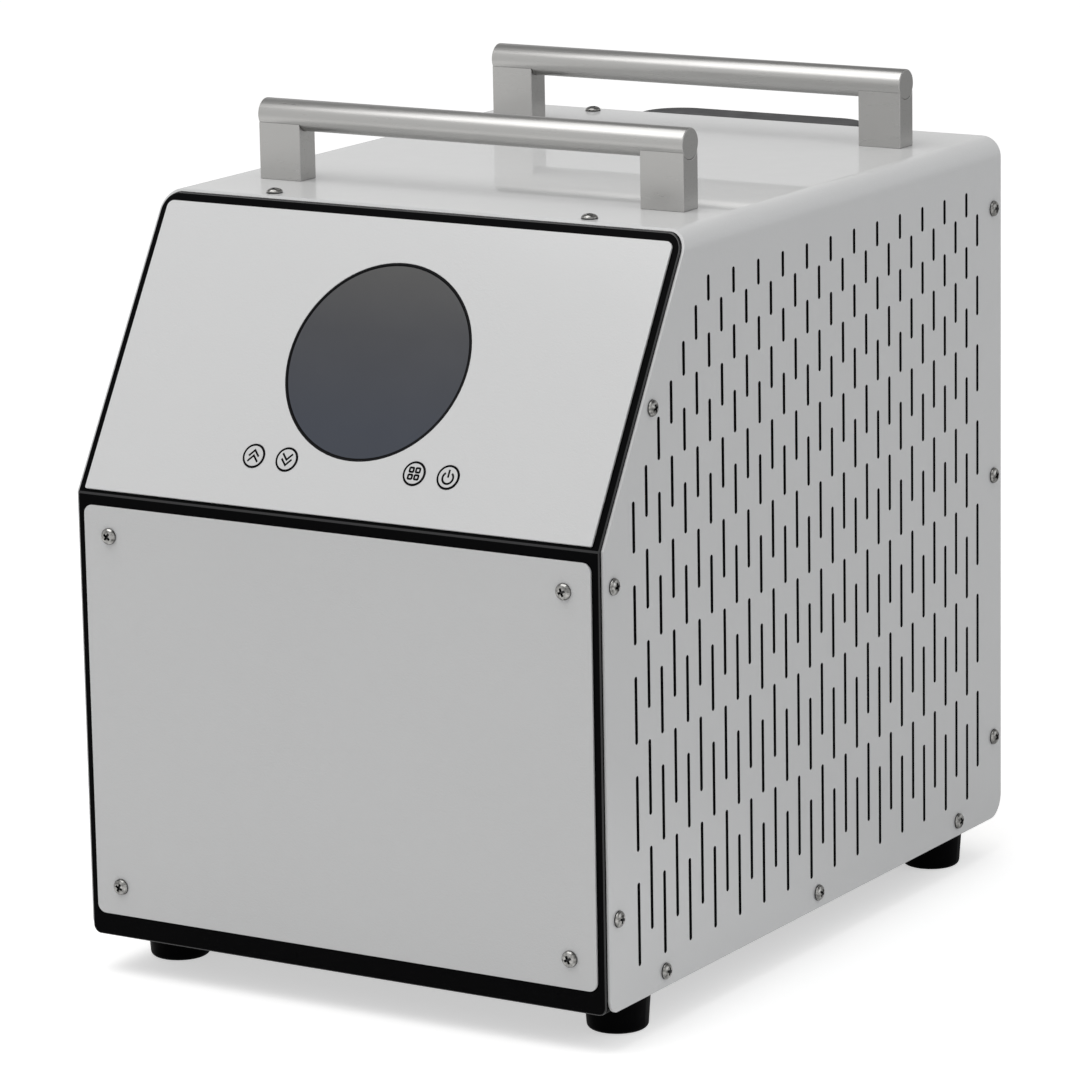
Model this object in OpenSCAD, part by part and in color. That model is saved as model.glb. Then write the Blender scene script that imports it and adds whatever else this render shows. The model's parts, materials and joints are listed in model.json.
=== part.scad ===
// Ice bath chiller: a slotted hood over a tray with a compressor, condenser, fan, evaporator and pump.
// Millimetres, +Z up. The floor is z = 0, the front faces -Y, and the middle of the overall box is x = y = 0.

/* [Body] */
// Width of the front frame
body_w = 345; // [320:1:380]
// Depth from the front face to the rear edge of the hood
body_d = 471; // [450:1:520]
// Height of the front frame, feet left out
body_h = 419.5; // [400:0.5:450]
// Height of the knee above the frame's lower edge
knee_h = 260.5; // [245:0.5:275]
// How far the leaning front falls back between the knee and the top
slant_run = 95.5; // [80:0.5:105]
// Radius of the hood's bends, outside
bend_r = 12; // [8:0.5:16]
// Thickness of the steel sheet
sheet_t = 1.5; // [1:0.1:2]
// Clearance between nested sheets
sheet_gap = 0.1; // [0.05:0.05:0.3]
// Width of the black strip left uncovered beside the hood
strip_w = 1.9; // [1:0.1:4]

/* [Slots] */
// Number of slot columns
slot_columns = 30; // [20:1:30]
// Width of a slot
slot_w = 3; // [2:0.1:4]
// Length of the shortest slot, in the top row
slot_first = 14.8; // [13:0.1:16]
// How much longer each lower slot is
slot_step = 4.7; // [4.2:0.1:4.9]
// Distance of the first column behind the knee
slot_start = 34; // [32:0.5:38]
// Distance of the last column in front of the hood's rear edge
slot_end = 31; // [26:0.5:36]
// Height of the lowest slots above the frame's lower edge
slot_foot = 20.3; // [18:0.1:24]
// Distance of the top row below the frame's top edge
slot_drop = 26; // [24:0.5:30]
// Least distance between a slot and the leaning edge
slot_clear = 16; // [12:0.5:20]

/* [Front] */
// Margin of black frame beside the front plate and control panel
plate_margin = 4.8; // [3:0.1:8]
// Margin below the front plate
plate_low = 13.5; // [10:0.5:18]
// Margin between the front plate and the knee
plate_high = 6.5; // [5:0.5:10]
// Corner radius of the front plate
plate_r = 5.3; // [3:0.1:10]
// Thickness of the front plate and control panel
plate_t = 1.5; // [1:0.1:2.5]
// Margin between the knee and the control panel
panel_low = 2.4; // [2:0.1:5]
// Margin between the control panel and the frame's top edge
panel_high = 5.8; // [4:0.1:8]
// Diameter of the display's round opening, as a share of the leaning front's length
display_share = 0.6383; // [0.54:0.0001:0.66]
// Height of the display's centre above the knee, as a share of the leaning front's length
display_up_share = 0.5092; // [0.48:0.0001:0.54]
// Distance of the display from the middle, as a share of the body's width
display_side_share = 0.0065; // [0:0.0001:0.01]
// Diameter of a key
key_d = 13.2; // [10:0.1:14]
// Gap all round a key
key_gap = 0.6; // [0.3:0.05:0.7]
// How far a key travels when pressed
key_travel = 0.8; // [0.4:0.1:1]
// Height of the keys above the knee, as a share of the leaning front's length
key_up_share = 0.1734; // [0.15:0.0001:0.19]
// Distance of the row of keys from the middle, as a share of the body's width
key_side_share = 0.0096; // [0:0.0001:0.015]
// Distance of the inner keys from the row's middle, as a share of the body's width
key_near_share = 0.1223; // [0.115:0.0001:0.13]
// Distance of the outer keys from the row's middle, as a share of the body's width
key_far_share = 0.1864; // [0.17:0.0001:0.2]

/* [Handles] */
// Diameter of the handle bar
bar_d = 18; // [16:0.5:22]
// Distance between the middles of a handle's posts
post_span = 256; // [224:1:264]
// Width of a post along the bar
post_w = 28; // [22:0.5:32]
// Depth of a post across the bar
post_t = 16; // [12:0.5:17]
// Height of the bar's middle above the hood
bar_h = 37.5; // [34:0.5:45]
// Distance of each handle from the front and rear edge of the top
handle_inset = 60; // [50:0.5:70]

/* [Feet and screws] */
// Height of a foot
foot_h = 23; // [18:0.5:30]
// Diameter of a foot at the top
foot_d = 38; // [34:0.5:44]
// Diameter of a foot at the floor
foot_low_d = 35; // [30:0.5:38]
// Distance of the feet from the sides
foot_side = 24; // [22:0.5:30]
// Distance of the front feet behind the front
foot_front = 52; // [48:0.5:60]
// Distance of the rear feet from the rear edge
foot_rear = 44; // [40:0.5:60]
// Diameter of a casing screw's head
screw_head_d = 9.6; // [8:0.1:10]
// Height of a casing screw's head
screw_head_h = 2.8; // [2:0.1:3.2]
// Diameter of a casing screw's shank
screw_d = 4; // [3:0.1:5]
// Length of a casing screw below its head
screw_l = 7; // [6:0.5:10]
// Distance of the edge screws from the hood's edges
screw_inset = 10; // [8:0.1:12]

/* [Back] */
// Width of the exhaust cowl
cowl_w = 150; // [140:1:160]
// Depth of the exhaust cowl behind the rear edge
cowl_d = 27; // [20:0.5:30]
// Height of the exhaust cowl
cowl_h = 190; // [180:1:200]
// Diameter of the water pipes of the inlet and outlet
port_d = 26.4; // [20:0.1:27]
// Length of the water pipes behind the rear panel
port_l = 42; // [36:0.5:50]
// Distance between the water inlet and outlet
port_gap = 92; // [84:1:100]

/* [Cooling] */
// Diameter of the compressor's can, as a share of the plan's half sum
comp_share = 0.2892; // [0.27:0.0001:0.3]
// Height of the compressor's can
comp_h = 185; // [170:1:200]
// Diameter swept by the fan
fan_d = 132; // [124:1:136]
// Width of the condenser, as a share of the body's width
cond_share = 0.5507; // [0.52:0.0001:0.58]
// Height of the condenser
cond_h = 190; // [180:1:200]
// Diameter of the evaporator with its foam, as a share of the plan's half sum
evap_share = 0.2941; // [0.27:0.0001:0.305]
// Height of the evaporator with its foam
evap_h = 230; // [210:1:250]

/* [Hidden] */
$fn = 48;

// Overrun of every cut, and the small gaps of parts that meet
over = 1;
seat_gap = 0.1;
run_gap = 0.05;

// Levels and lines of the casing
z_low = foot_h;
z_knee = z_low + knee_h;
z_top = z_low + body_h;
half_w = body_w / 2;
lean = atan(slant_run / (z_top - z_knee));
slant_len = norm([slant_run, z_top - z_knee]);
// Half sum of width and depth, which sets the diameters of the inner parts
plan = (body_w + body_d) / 2;
hood_w = half_w + sheet_gap + sheet_t;
hood_top = z_top + sheet_gap + sheet_t;
frame_top_r = bend_r - sheet_t - sheet_gap;
frame_low_r = 5;
flange_l = 22;
pan_flange = 16;
panel_recess = 2;
rear_y = body_d - panel_recess;
inner_y = rear_y - sheet_t;
front_reach = plate_t + screw_head_h;
mid_y = (rear_y + port_l - front_reach) / 2;
tray_z = z_low + sheet_t;

module at_build() { translate([0, -mid_y, 0]) children(); }
// Front face: x across, y up, z out of the face
module on_front() { rotate([90, 0, 0]) children(); }
// Leaning front: x across, y up the slope from the knee, z out of the face
module on_slant() { translate([0, 0, z_knee]) rotate([90 - lean, 0, 0]) children(); }
// Right side of the frame: x backwards, y up, z out of the face
module on_side() { translate([half_w + sheet_gap, 0, 0]) rotate([90, 0, 90]) children(); }
module both_sides() { children(); mirror([1, 0, 0]) children(); }
// Rear panel's outer face: x across, y up, z out of the face
module on_rear() { translate([0, rear_y, 0]) mirror([0, 1, 0]) rotate([90, 0, 0]) children(); }

// Depth of the leaning front at height z, moved inwards by d
function slant_y(z, d) = (d + sin(lean) * (z - z_knee)) / cos(lean);

// Rectangle on the x axis with rounded lower and upper corners
module outline(w, h, low_r, high_r) {
  translate([-w / 2, low_r]) square([w, h - low_r - high_r]);
  translate([low_r - w / 2, 0]) square([w - 2 * low_r, h / 2]);
  translate([high_r - w / 2, h / 2]) square([w - 2 * high_r, h / 2]);
  for (side = [-1, 1]) {
    translate([side * (w / 2 - low_r), low_r]) circle(low_r);
    translate([side * (w / 2 - high_r), h - high_r]) circle(high_r);
  }
}
// Stadium of width w from y = 0 down to -l
module slot(w, l) {
  translate([-w / 2, w / 2 - l]) square([w, l - w]);
  translate([0, -w / 2]) circle(w / 2);
  translate([0, w / 2 - l]) circle(w / 2);
}
module ring(d, bore, h) {
  difference() {
    cylinder(d = d, h = h);
    translate([0, 0, -over]) cylinder(d = bore, h = h + 2 * over);
  }
}
module nut(d, bore, h) {
  difference() {
    cylinder(d = d, h = h, $fn = 6);
    translate([0, 0, -over]) cylinder(d = bore, h = h + 2 * over);
  }
}
// Round tube swept along points, with each corner rounded
tube_sides = 12;
corner_steps = 5;
function unit(v) = v / norm(v);
function curve(a, b, c, s) = (1 - s) * (1 - s) * a + 2 * s * (1 - s) * b + s * s * c;
function reach(a, b, r) = b + unit(a - b) * min(r, 0.45 * norm(a - b));
function rounded(p, r) = [p[0],
  for (i = [1 : len(p) - 2], k = [0 : corner_steps])
    curve(reach(p[i - 1], p[i], r), p[i], reach(p[i + 1], p[i], r), k / corner_steps),
  p[len(p) - 1]];
function tangent(p, i) = i == 0 ? unit(p[1] - p[0]) : i == len(p) - 1 ? unit(p[i] - p[i - 1]) :
  unit(unit(p[i + 1] - p[i]) + unit(p[i] - p[i - 1]));
function carried(p, i, n) = i == len(p) ? [] :
  let (t = tangent(p, i), m = unit(n - (n * t) * t)) concat([m], carried(p, i + 1, m));
module run(points, d) {
  path = rounded(points, 2 * d);
  first = tangent(path, 0);
  normals = carried(path, 0, abs(first[2]) > 0.9 ? [1, 0, 0] : [0, 0, 1]);
  rings = len(path);
  polyhedron(
    [for (i = [0 : rings - 1], k = [0 : tube_sides - 1])
      path[i] + d / 2 * (cos(k * 360 / tube_sides) * normals[i]
        + sin(k * 360 / tube_sides) * cross(tangent(path, i), normals[i]))],
    [[for (k = [tube_sides - 1 : -1 : 0]) k],
      for (i = [0 : rings - 2], k = [0 : tube_sides - 1]) let (n = (k + 1) % tube_sides, at = i * tube_sides)
        [at + k, at + n, at + tube_sides + n, at + tube_sides + k],
      [for (k = [0 : tube_sides - 1]) (rings - 1) * tube_sides + k]]);
}

// Casing screws
screw_gap = 0.1;
screw_hole_d = screw_d + 2 * screw_gap;
head_ball = (screw_head_d * screw_head_d / 4 + screw_head_h * screw_head_h) / (2 * screw_head_h);
module screw(l) {
  translate([0, 0, -l]) cylinder(d = screw_d, h = l);
  intersection() {
    cylinder(d = screw_head_d, h = screw_head_h);
    translate([0, 0, screw_head_h - head_ball]) sphere(head_ball, $fn = 96);
  }
}
module screw_hole(l) { translate([0, 0, -l]) cylinder(d = screw_hole_d, h = l + over); }
plate_screw_in = 17;
side_low_z = z_low + screw_inset;
front_screw_low = 53;
front_screw_top = 21;
front_screw_z = [z_low + front_screw_low, z_knee - front_screw_top];
slant_screw_share = 0.4367;
slant_screw_t = slant_len * slant_screw_share;
bottom_screw_shares = [0.1316, 0.5053, 0.879];
bottom_screw_y = body_d * bottom_screw_shares;
rear_screw_shares = [0.124, 0.5137, 0.9035];
top_screw_x_share = 0.3043;
top_screw_x = body_w * top_screw_x_share;
module at_plate_screws() {
  for (x = [-1, 1], z = [z_low + plate_low + plate_screw_in, z_knee - plate_high - plate_screw_in])
    on_front() translate([x * (half_w - plate_margin - plate_screw_in), z, 0]) children();
}
module at_side_screws() {
  both_sides() on_side() {
    for (z = front_screw_z) translate([strip_w + screw_inset, z, 0]) children();
    translate([sin(lean) * slant_screw_t + strip_w + screw_inset / cos(lean),
      z_knee + cos(lean) * slant_screw_t, 0]) children();
    for (y = bottom_screw_y) translate([y, side_low_z, 0]) children();
    for (s = rear_screw_shares) translate([body_d - screw_inset, z_low + s * body_h, 0]) children();
  }
}
module at_top_screws() {
  for (x = [-1, 1], y = [slant_run + strip_w + screw_inset, body_d - screw_inset])
    translate([x * top_screw_x, y, z_top + sheet_gap]) children();
}

// Slot pattern: even columns start at the top row, odd ones fill the gaps between their slots
slot_rows = 8;
slot_top = z_top - slot_drop;
slot_pitch = (body_d - slot_start - slot_end) / (slot_columns - 1);
slots_total = slot_rows * (slot_first + slot_step * (slot_rows - 1) / 2);
slot_gap = (body_h - slot_drop - slot_foot - slots_total) / (slot_rows - 1);
function slot_len(k) = slot_first + slot_step * k;
function even_top(k) = k == 0 ? slot_top : even_top(k - 1) - slot_len(k - 1) - slot_gap;
function odd_top(k) = even_top(k - 1) - slot_len(k - 1);
module slot_pattern() {
  for (j = [0 : slot_columns - 1], k = [j % 2 : slot_rows - 1]) {
    y = slot_start + slot_pitch * j;
    z = j % 2 == 0 ? even_top(k) : odd_top(k);
    if (y - slant_y(z, 0) > slot_clear) translate([y, z]) slot(slot_w, slot_len(k));
  }
}

// Casing
hood_low_front_r = 8;
hood_low_rear_r = 14;
hood_lip = 0.5;
module corner_cut(r) {
  difference() {
    translate([-over, -over]) square(r + over);
    translate([r, r]) circle(r);
  }
}
// Side view of the hood, with its rounded lower corners and slots
module hood_side(top, cut) {
  low = z_low + hood_lip;
  difference() {
    polygon([[strip_w, low], [body_d, low], [body_d, top],
      [strip_w + slant_y(top, 0), top], [strip_w, z_knee]]);
    translate([strip_w, low]) corner_cut(hood_low_front_r);
    translate([body_d, low]) mirror([1, 0]) corner_cut(hood_low_rear_r);
    if (cut) slot_pattern();
  }
}
module hood() color([0.86, 0.87, 0.87]) at_build() difference() {
  intersection() {
    translate([-hood_w - over, 0, 0]) rotate([90, 0, 90])
      linear_extrude(2 * (hood_w + over)) hood_side(hood_top, true);
    translate([0, body_d + over, z_low]) rotate([90, 0, 0])
      linear_extrude(body_d + 2 * over) outline(2 * hood_w, hood_top - z_low, sheet_t, bend_r);
  }
  translate([0, body_d + over, z_low]) rotate([90, 0, 0])
    linear_extrude(body_d + 2 * over) {
      outline(2 * (hood_w - sheet_t), hood_top - sheet_t - z_low, 0.5 * sheet_t, bend_r - sheet_t);
      translate([sheet_t - hood_w, -over]) square([2 * (hood_w - sheet_t), bend_r]);
    }
  at_side_screws() translate([0, 0, sheet_t]) screw_hole(2 * sheet_t);
  at_top_screws() translate([0, 0, sheet_t]) screw_hole(2 * sheet_t);
  at_handle_posts() translate([0, 0, over]) screw_hole(2 * sheet_t + over);
}

// Front frame: a sheet with two windows, and flanges that run back under the hood
window_side = 32;
window_end = 40;
high_window_low_share = 0.108;
high_window_low = slant_len * high_window_low_share;
high_window_top_share = 0.129;
high_window_top = slant_len * high_window_top_share;
low_window = [z_low + window_end, z_knee - window_end];
high_window = [high_window_low, slant_len - high_window_top];
module frame_side(d, back) {
  polygon([[d, z_low + d], [back, z_low + d], [back, z_top - d],
    [slant_y(z_top - d, d), z_top - d], [d, z_knee - d * tan(lean / 2)]]);
}
module front_frame() color([0.06, 0.06, 0.065]) at_build() difference() {
  intersection() {
    translate([-half_w, 0, 0]) rotate([90, 0, 90]) linear_extrude(body_w)
      polygon([[0, z_low], [flange_l, z_low], [flange_l, z_knee], [slant_run + flange_l, z_top],
        [slant_run, z_top], [0, z_knee]]);
    translate([0, slant_run + 2 * flange_l, z_low]) rotate([90, 0, 0])
      linear_extrude(slant_run + 3 * flange_l) outline(body_w, body_h, frame_low_r, frame_top_r);
  }
  intersection() {
    translate([-half_w, 0, 0]) rotate([90, 0, 90]) linear_extrude(body_w) frame_side(sheet_t, body_d);
    translate([0, body_d, z_low + sheet_t]) rotate([90, 0, 0]) linear_extrude(body_d)
      outline(body_w - 2 * sheet_t, body_h - 2 * sheet_t, frame_low_r - sheet_t, frame_top_r - sheet_t);
  }
  translate([window_side - half_w, -over, low_window[0]])
    cube([body_w - 2 * window_side, sheet_t + 2 * over, low_window[1] - low_window[0]]);
  on_slant() translate([window_side - half_w, high_window[0], -sheet_t - over])
    cube([body_w - 2 * window_side, high_window[1] - high_window[0], sheet_t + 2 * over]);
  at_plate_screws() screw_hole(2 * sheet_t);
  at_side_screws() screw_hole(2 * sheet_t);
  at_top_screws() screw_hole(2 * sheet_t);
  at_panel_studs() screw_hole(2 * sheet_t);
}

// Base tray with flanges up its four sides
tray_h = 20;
tray_front = flange_l + seat_gap;
tray_rear = rear_y - pan_flange - seat_gap;
tray_tongue_w = body_w - 2 * (frame_low_r + sheet_t);
module tray_plan(inset) {
  translate([-half_w + sheet_gap + inset, tray_front + inset])
    square([body_w - 2 * (sheet_gap + inset), tray_rear - tray_front - 2 * inset]);
  translate([-tray_tongue_w / 2 + inset, tray_front + inset])
    square([tray_tongue_w - 2 * inset, inner_y - seat_gap - tray_front - 2 * inset]);
}
module base_tray() color([0.08, 0.08, 0.085]) at_build() difference() {
  translate([0, 0, z_low]) linear_extrude(tray_h) tray_plan(0);
  translate([0, 0, tray_z]) linear_extrude(tray_h) tray_plan(sheet_t);
  at_side_screws() screw_hole(2 * sheet_t);
  at_feet() translate([0, 0, 2 * sheet_t]) screw_hole(4 * sheet_t);
  at_comp_bolts() translate([0, 0, over]) screw_hole(4 * sheet_t);
  at_pump_bolts() screw_hole(pump_foot_t + 2 * sheet_t);
  for (y = [0 : vent_rows - 1]) translate([-vent_l / 2, vent_y + y * vent_pitch, z_low - over])
    cube([vent_l, vent_w, sheet_t + 2 * over]);
}
vent_rows = 5;
vent_l_share = 0.261;
vent_l = body_w * vent_l_share;
vent_w = 4;
vent_pitch = 12;
vent_y_share = 0.4034;
vent_y = body_d * vent_y_share;

// Rear panel: a pan that opens forwards, inside the hood's rear edge
module rear_panel() color([0.84, 0.85, 0.85]) at_build() difference() {
  translate([0, rear_y, z_low]) rotate([90, 0, 0]) linear_extrude(pan_flange)
    outline(body_w - 2 * seat_gap, body_h - seat_gap, frame_low_r, frame_top_r - seat_gap);
  translate([0, inner_y, z_low - over]) rotate([90, 0, 0]) linear_extrude(pan_flange)
    outline(body_w - 2 * (seat_gap + sheet_t), body_h - seat_gap - sheet_t + over, frame_low_r, frame_top_r - sheet_t);
  at_side_screws() screw_hole(2 * sheet_t);
  at_top_screws() screw_hole(3 * sheet_t);
  at_fan() translate([0, 0, -sheet_t - over]) cylinder(d = fan_bore, h = sheet_t + 2 * over);
  at_cowl_screws() screw_hole(2 * sheet_t);
  at_ports() translate([0, 0, -2 * sheet_t]) cylinder(d = port_neck_d + 2 * seat_gap, h = 4 * sheet_t);
  on_rear() translate([mains_x, mains_z, -2 * sheet_t]) linear_extrude(4 * sheet_t)
    square([mains_w, mains_h] + 2 * [seat_gap, seat_gap], center = true);
  on_rear() translate([switch_x, mains_z, -2 * sheet_t]) linear_extrude(4 * sheet_t)
    square([switch_w, switch_h] + 2 * [seat_gap, seat_gap], center = true);
}

// Front plate and control panel
module front_plate() color([0.86, 0.87, 0.87]) at_build() difference() {
  on_front() translate([0, z_low + plate_low, 0]) linear_extrude(plate_t)
    outline(body_w - 2 * plate_margin, knee_h - plate_low - plate_high, plate_r, plate_r);
  at_plate_screws() translate([0, 0, plate_t]) screw_hole(2 * plate_t);
}
panel_r = 4;
display_d = slant_len * display_share;
display_up = slant_len * display_up_share;
display_side = body_w * display_side_share;
key_up_h = slant_len * key_up_share;
key_side = body_w * key_side_share;
key_near = body_w * key_near_share;
key_far = body_w * key_far_share;
panel_low_r = 1;
panel_w = body_w - 2 * plate_margin;
panel_len = slant_len - panel_low - panel_high;
stud_inset = 12;
stud_l = 9;
module at_panel_studs() {
  for (x = [-1, 1], t = [panel_low + stud_inset, panel_low + panel_len - stud_inset])
    on_slant() translate([x * (panel_w / 2 - stud_inset), t, 0]) children();
}
module key_places() {
  for (x = [-key_far, -key_near, key_near, key_far]) translate([key_side + x, key_up_h, 0]) children();
}
module control_panel() color([0.87, 0.88, 0.88]) at_build() {
  difference() {
    on_slant() translate([0, panel_low, 0]) linear_extrude(plate_t) outline(panel_w, panel_len, panel_low_r, panel_r);
    on_slant() translate([display_side, display_up, -over]) cylinder(d = display_d, h = plate_t + 2 * over);
    on_slant() key_places() translate([0, 0, -over]) cylinder(d = key_d + 2 * key_gap, h = plate_t + 2 * over);
  }
  at_panel_studs() translate([0, 0, -stud_l]) cylinder(d = screw_d, h = stud_l + plate_t / 2);
}

// Display, behind the round opening
seal_w = 1;
lens_sink = 0.3;
lens_t = 2;
lens_d = display_d - 2 * (seal_w + seat_gap);
lens_back = plate_t - lens_sink - lens_t;
module_step = 3.2;
module_rim = 1.8;
module_d = display_d - 2 * module_step;
module_rim_d = display_d + 2 * module_rim;
module_t = 9;
module display_seal() color([0.05, 0.05, 0.05]) at_build() on_slant()
  translate([display_side, display_up, lens_back]) ring(display_d - 2 * seat_gap, lens_d + run_gap, plate_t - lens_back);
module display_lens() color([0.2, 0.21, 0.24]) at_build() on_slant()
  translate([display_side, display_up, lens_back]) cylinder(d = lens_d, h = lens_t);
module display_module() color([0.12, 0.12, 0.13]) at_build() on_slant() translate([display_side, display_up, 0]) {
  translate([0, 0, -sheet_t]) cylinder(d = module_rim_d, h = lens_back + sheet_t);
  translate([0, 0, lens_back - module_t]) cylinder(d = module_d, h = module_t);
}
// Board bracket, clamped behind the frame's upper window, with posts for the board
bracket_in = 10;
key_flange_w = 1;
key_flange_d = key_d + 2 * (key_gap + key_flange_w);
key_flange_t = 1.1;
board_back = 12;
board_t = 1.6;
board_w_share = 0.4754;
board_w = body_w * board_w_share;
board_len_share = 0.744;
board_len = slant_len * board_len_share;
board_low_share = 0.1024;
board_low = slant_len * board_low_share;
board_in = 6;
post_d = 6;
tact_w = 6;
tact_h = 3.5;
module board_posts() {
  for (x = [-1, 1], t = [board_low + board_in, board_low + board_len - board_in])
    translate([x * (board_w / 2 - board_in), t, 0]) children();
}
module board_bracket() color([0.55, 0.56, 0.58]) at_build() on_slant() {
  difference() {
    translate([bracket_in - half_w, bracket_in, -2 * sheet_t - run_gap])
      cube([body_w - 2 * bracket_in, slant_len - 2.4 * bracket_in, sheet_t]);
    translate([display_side, display_up, -3 * sheet_t]) cylinder(d = module_d + 2 * seat_gap, h = 3 * sheet_t);
    key_places() translate([0, 0, -3 * sheet_t]) cylinder(d = key_flange_d + 2 * seat_gap, h = 3 * sheet_t);
    for (x = [-1, 1], t = [panel_low + stud_inset, panel_low + panel_len - stud_inset])
      translate([x * (panel_w / 2 - stud_inset), t, 0]) screw_hole(3 * sheet_t);
  }
  board_posts() translate([0, 0, -board_back]) cylinder(d = post_d, h = board_back - 1.5 * sheet_t);
}
module panel_nuts() color([0.6, 0.6, 0.62]) at_build() at_panel_studs()
  translate([0, 0, -2 * sheet_t - seat_gap - nut_h]) nut(nut_d, screw_hole_d, nut_h);
module control_board() color([0.05, 0.3, 0.16]) at_build() on_slant() {
  translate([-board_w / 2, board_low, -board_back - board_t]) cube([board_w, board_len, board_t]);
  key_places() translate([-tact_w / 2, -tact_w / 2, -board_back]) cube([tact_w, tact_w, tact_h]);
}
// A key: a cap through the panel, a flange that stops it, and a stem above its switch
key_proud = 0.2;
stem_d = 5;
stem_end = board_back - tact_h - key_travel - seat_gap;
module key(x) color([0.86, 0.87, 0.87]) at_build() on_slant() translate([key_side + x, key_up_h, 0]) {
  translate([0, 0, -seat_gap - key_flange_t]) cylinder(d = key_d, h = plate_t + key_proud + seat_gap + key_flange_t);
  translate([0, 0, -seat_gap - key_flange_t]) cylinder(d = key_flange_d, h = key_flange_t);
  translate([0, 0, -stem_end]) cylinder(d = stem_d, h = stem_end);
}
module key_up() key(-key_far);
module key_down() key(-key_near);
module key_menu() key(key_near);
module key_power() key(key_far);

// Handles
bar_r = bar_d / 2;
post_top = bar_h - sqrt(bar_r * bar_r - post_t * post_t / 4);
front_handle_y = slant_run + handle_inset;
rear_handle_y = body_d - handle_inset;
handle_bolt_l = 14;
module handle_ends(y) {
  for (x = [-1, 1]) translate([x * post_span / 2, y, hood_top]) children();
}
module at_handle_posts() {
  handle_ends(front_handle_y) children();
  handle_ends(rear_handle_y) children();
}
module handle_bar(y) color([0.78, 0.78, 0.77]) at_build()
  translate([-(post_span + post_w) / 2, y, hood_top + bar_h]) rotate([0, 90, 0])
    cylinder(d = bar_d, h = post_span + post_w, $fn = 96);
module handle_posts(y) color([0.72, 0.72, 0.72]) at_build() difference() {
  handle_ends(y) translate([-post_w / 2, -post_t / 2, 0]) cube([post_w, post_t, post_top]);
  translate([-post_span, y, hood_top + bar_h]) rotate([0, 90, 0])
    cylinder(d = bar_d + 2 * run_gap, h = 2 * post_span, $fn = 96);
  handle_ends(y) translate([0, 0, handle_bolt_l]) screw_hole(2 * handle_bolt_l);
}
module front_handle_bar() handle_bar(front_handle_y);
module front_handle_posts() handle_posts(front_handle_y);
module rear_handle_bar() handle_bar(rear_handle_y);
module rear_handle_posts() handle_posts(rear_handle_y);
module handle_bolts() color([0.6, 0.6, 0.62]) at_build() at_handle_posts()
  translate([0, 0, -sheet_t]) mirror([0, 0, 1]) screw(handle_bolt_l);

// Feet, each with a sunk bolt up through the tray and a nut
foot_edge_r = 3;
foot_sink_d = 14;
foot_sink_h = 12;
nut_d = 9;
nut_h = 3.2;
module at_feet() {
  for (x = [-1, 1], y = [foot_front, body_d - foot_rear])
    translate([x * (half_w - foot_side), y, z_low]) children();
}
module feet() color([0.06, 0.06, 0.06]) at_build() at_feet() translate([0, 0, -foot_h]) difference() {
  rotate_extrude($fn = 96) {
    polygon([[0, 0], [foot_low_d / 2 - foot_edge_r, 0], [foot_low_d / 2, foot_edge_r],
      [foot_d / 2, foot_h], [0, foot_h]]);
    translate([foot_low_d / 2 - foot_edge_r, foot_edge_r]) intersection() {
      circle(foot_edge_r);
      translate([0, -foot_edge_r]) square(2 * foot_edge_r);
    }
  }
  translate([0, 0, -over]) cylinder(d = foot_sink_d, h = foot_sink_h + over);
  cylinder(d = screw_hole_d, h = foot_h + over);
}
module foot_bolts() color([0.6, 0.6, 0.62]) at_build() at_feet() {
  translate([0, 0, foot_sink_h - foot_h]) mirror([0, 0, 1]) screw(foot_h - foot_sink_h + sheet_t + nut_h);
  translate([0, 0, sheet_t + seat_gap]) nut(nut_d, screw_hole_d, nut_h);
}

// Casing screws
module plate_screws() color([0.75, 0.75, 0.76]) at_build() at_plate_screws() translate([0, 0, plate_t]) screw(screw_l);
module side_screws() color([0.75, 0.75, 0.76]) at_build() at_side_screws() translate([0, 0, sheet_t]) screw(screw_l);
module top_screws() color([0.75, 0.75, 0.76]) at_build() at_top_screws() translate([0, 0, sheet_t]) screw(screw_l);

// Exhaust cowl behind the fan, level with the hood's top
cowl_r = 24;
cowl_wall = 2.5;
cowl_z = hood_top - cowl_h;
cowl_start = body_d - rear_y + seat_gap;
cowl_ear_w = 14;
cowl_ear_h = 18;
cowl_ear_t = 3;
cowl_spigot_in = 3;
louvre_n = 8;
louvre_w = 104;
louvre_pitch = 20;
louvre_open = 9;
louvre_t = 1.6;
louvre_angle = 35;
module at_cowl_screws() {
  for (x = [-1, 1], z = [0.25, 0.75]) on_rear()
    translate([x * (cowl_w + cowl_ear_w) / 2, cowl_z + z * cowl_h, 0]) children();
}
module cowl_plan(inset) {
  w = cowl_w - 2 * inset;
  d = cowl_d + cowl_start - inset;
  r = cowl_r - inset;
  intersection() {
    translate([-w / 2, 0]) square([w, d]);
    union() {
      translate([-w / 2, 0]) square([w, d - r]);
      translate([r - w / 2, 0]) square([w - 2 * r, d]);
      for (side = [-1, 1]) translate([side * (w / 2 - r), d - r]) circle(r);
    }
  }
}
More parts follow.
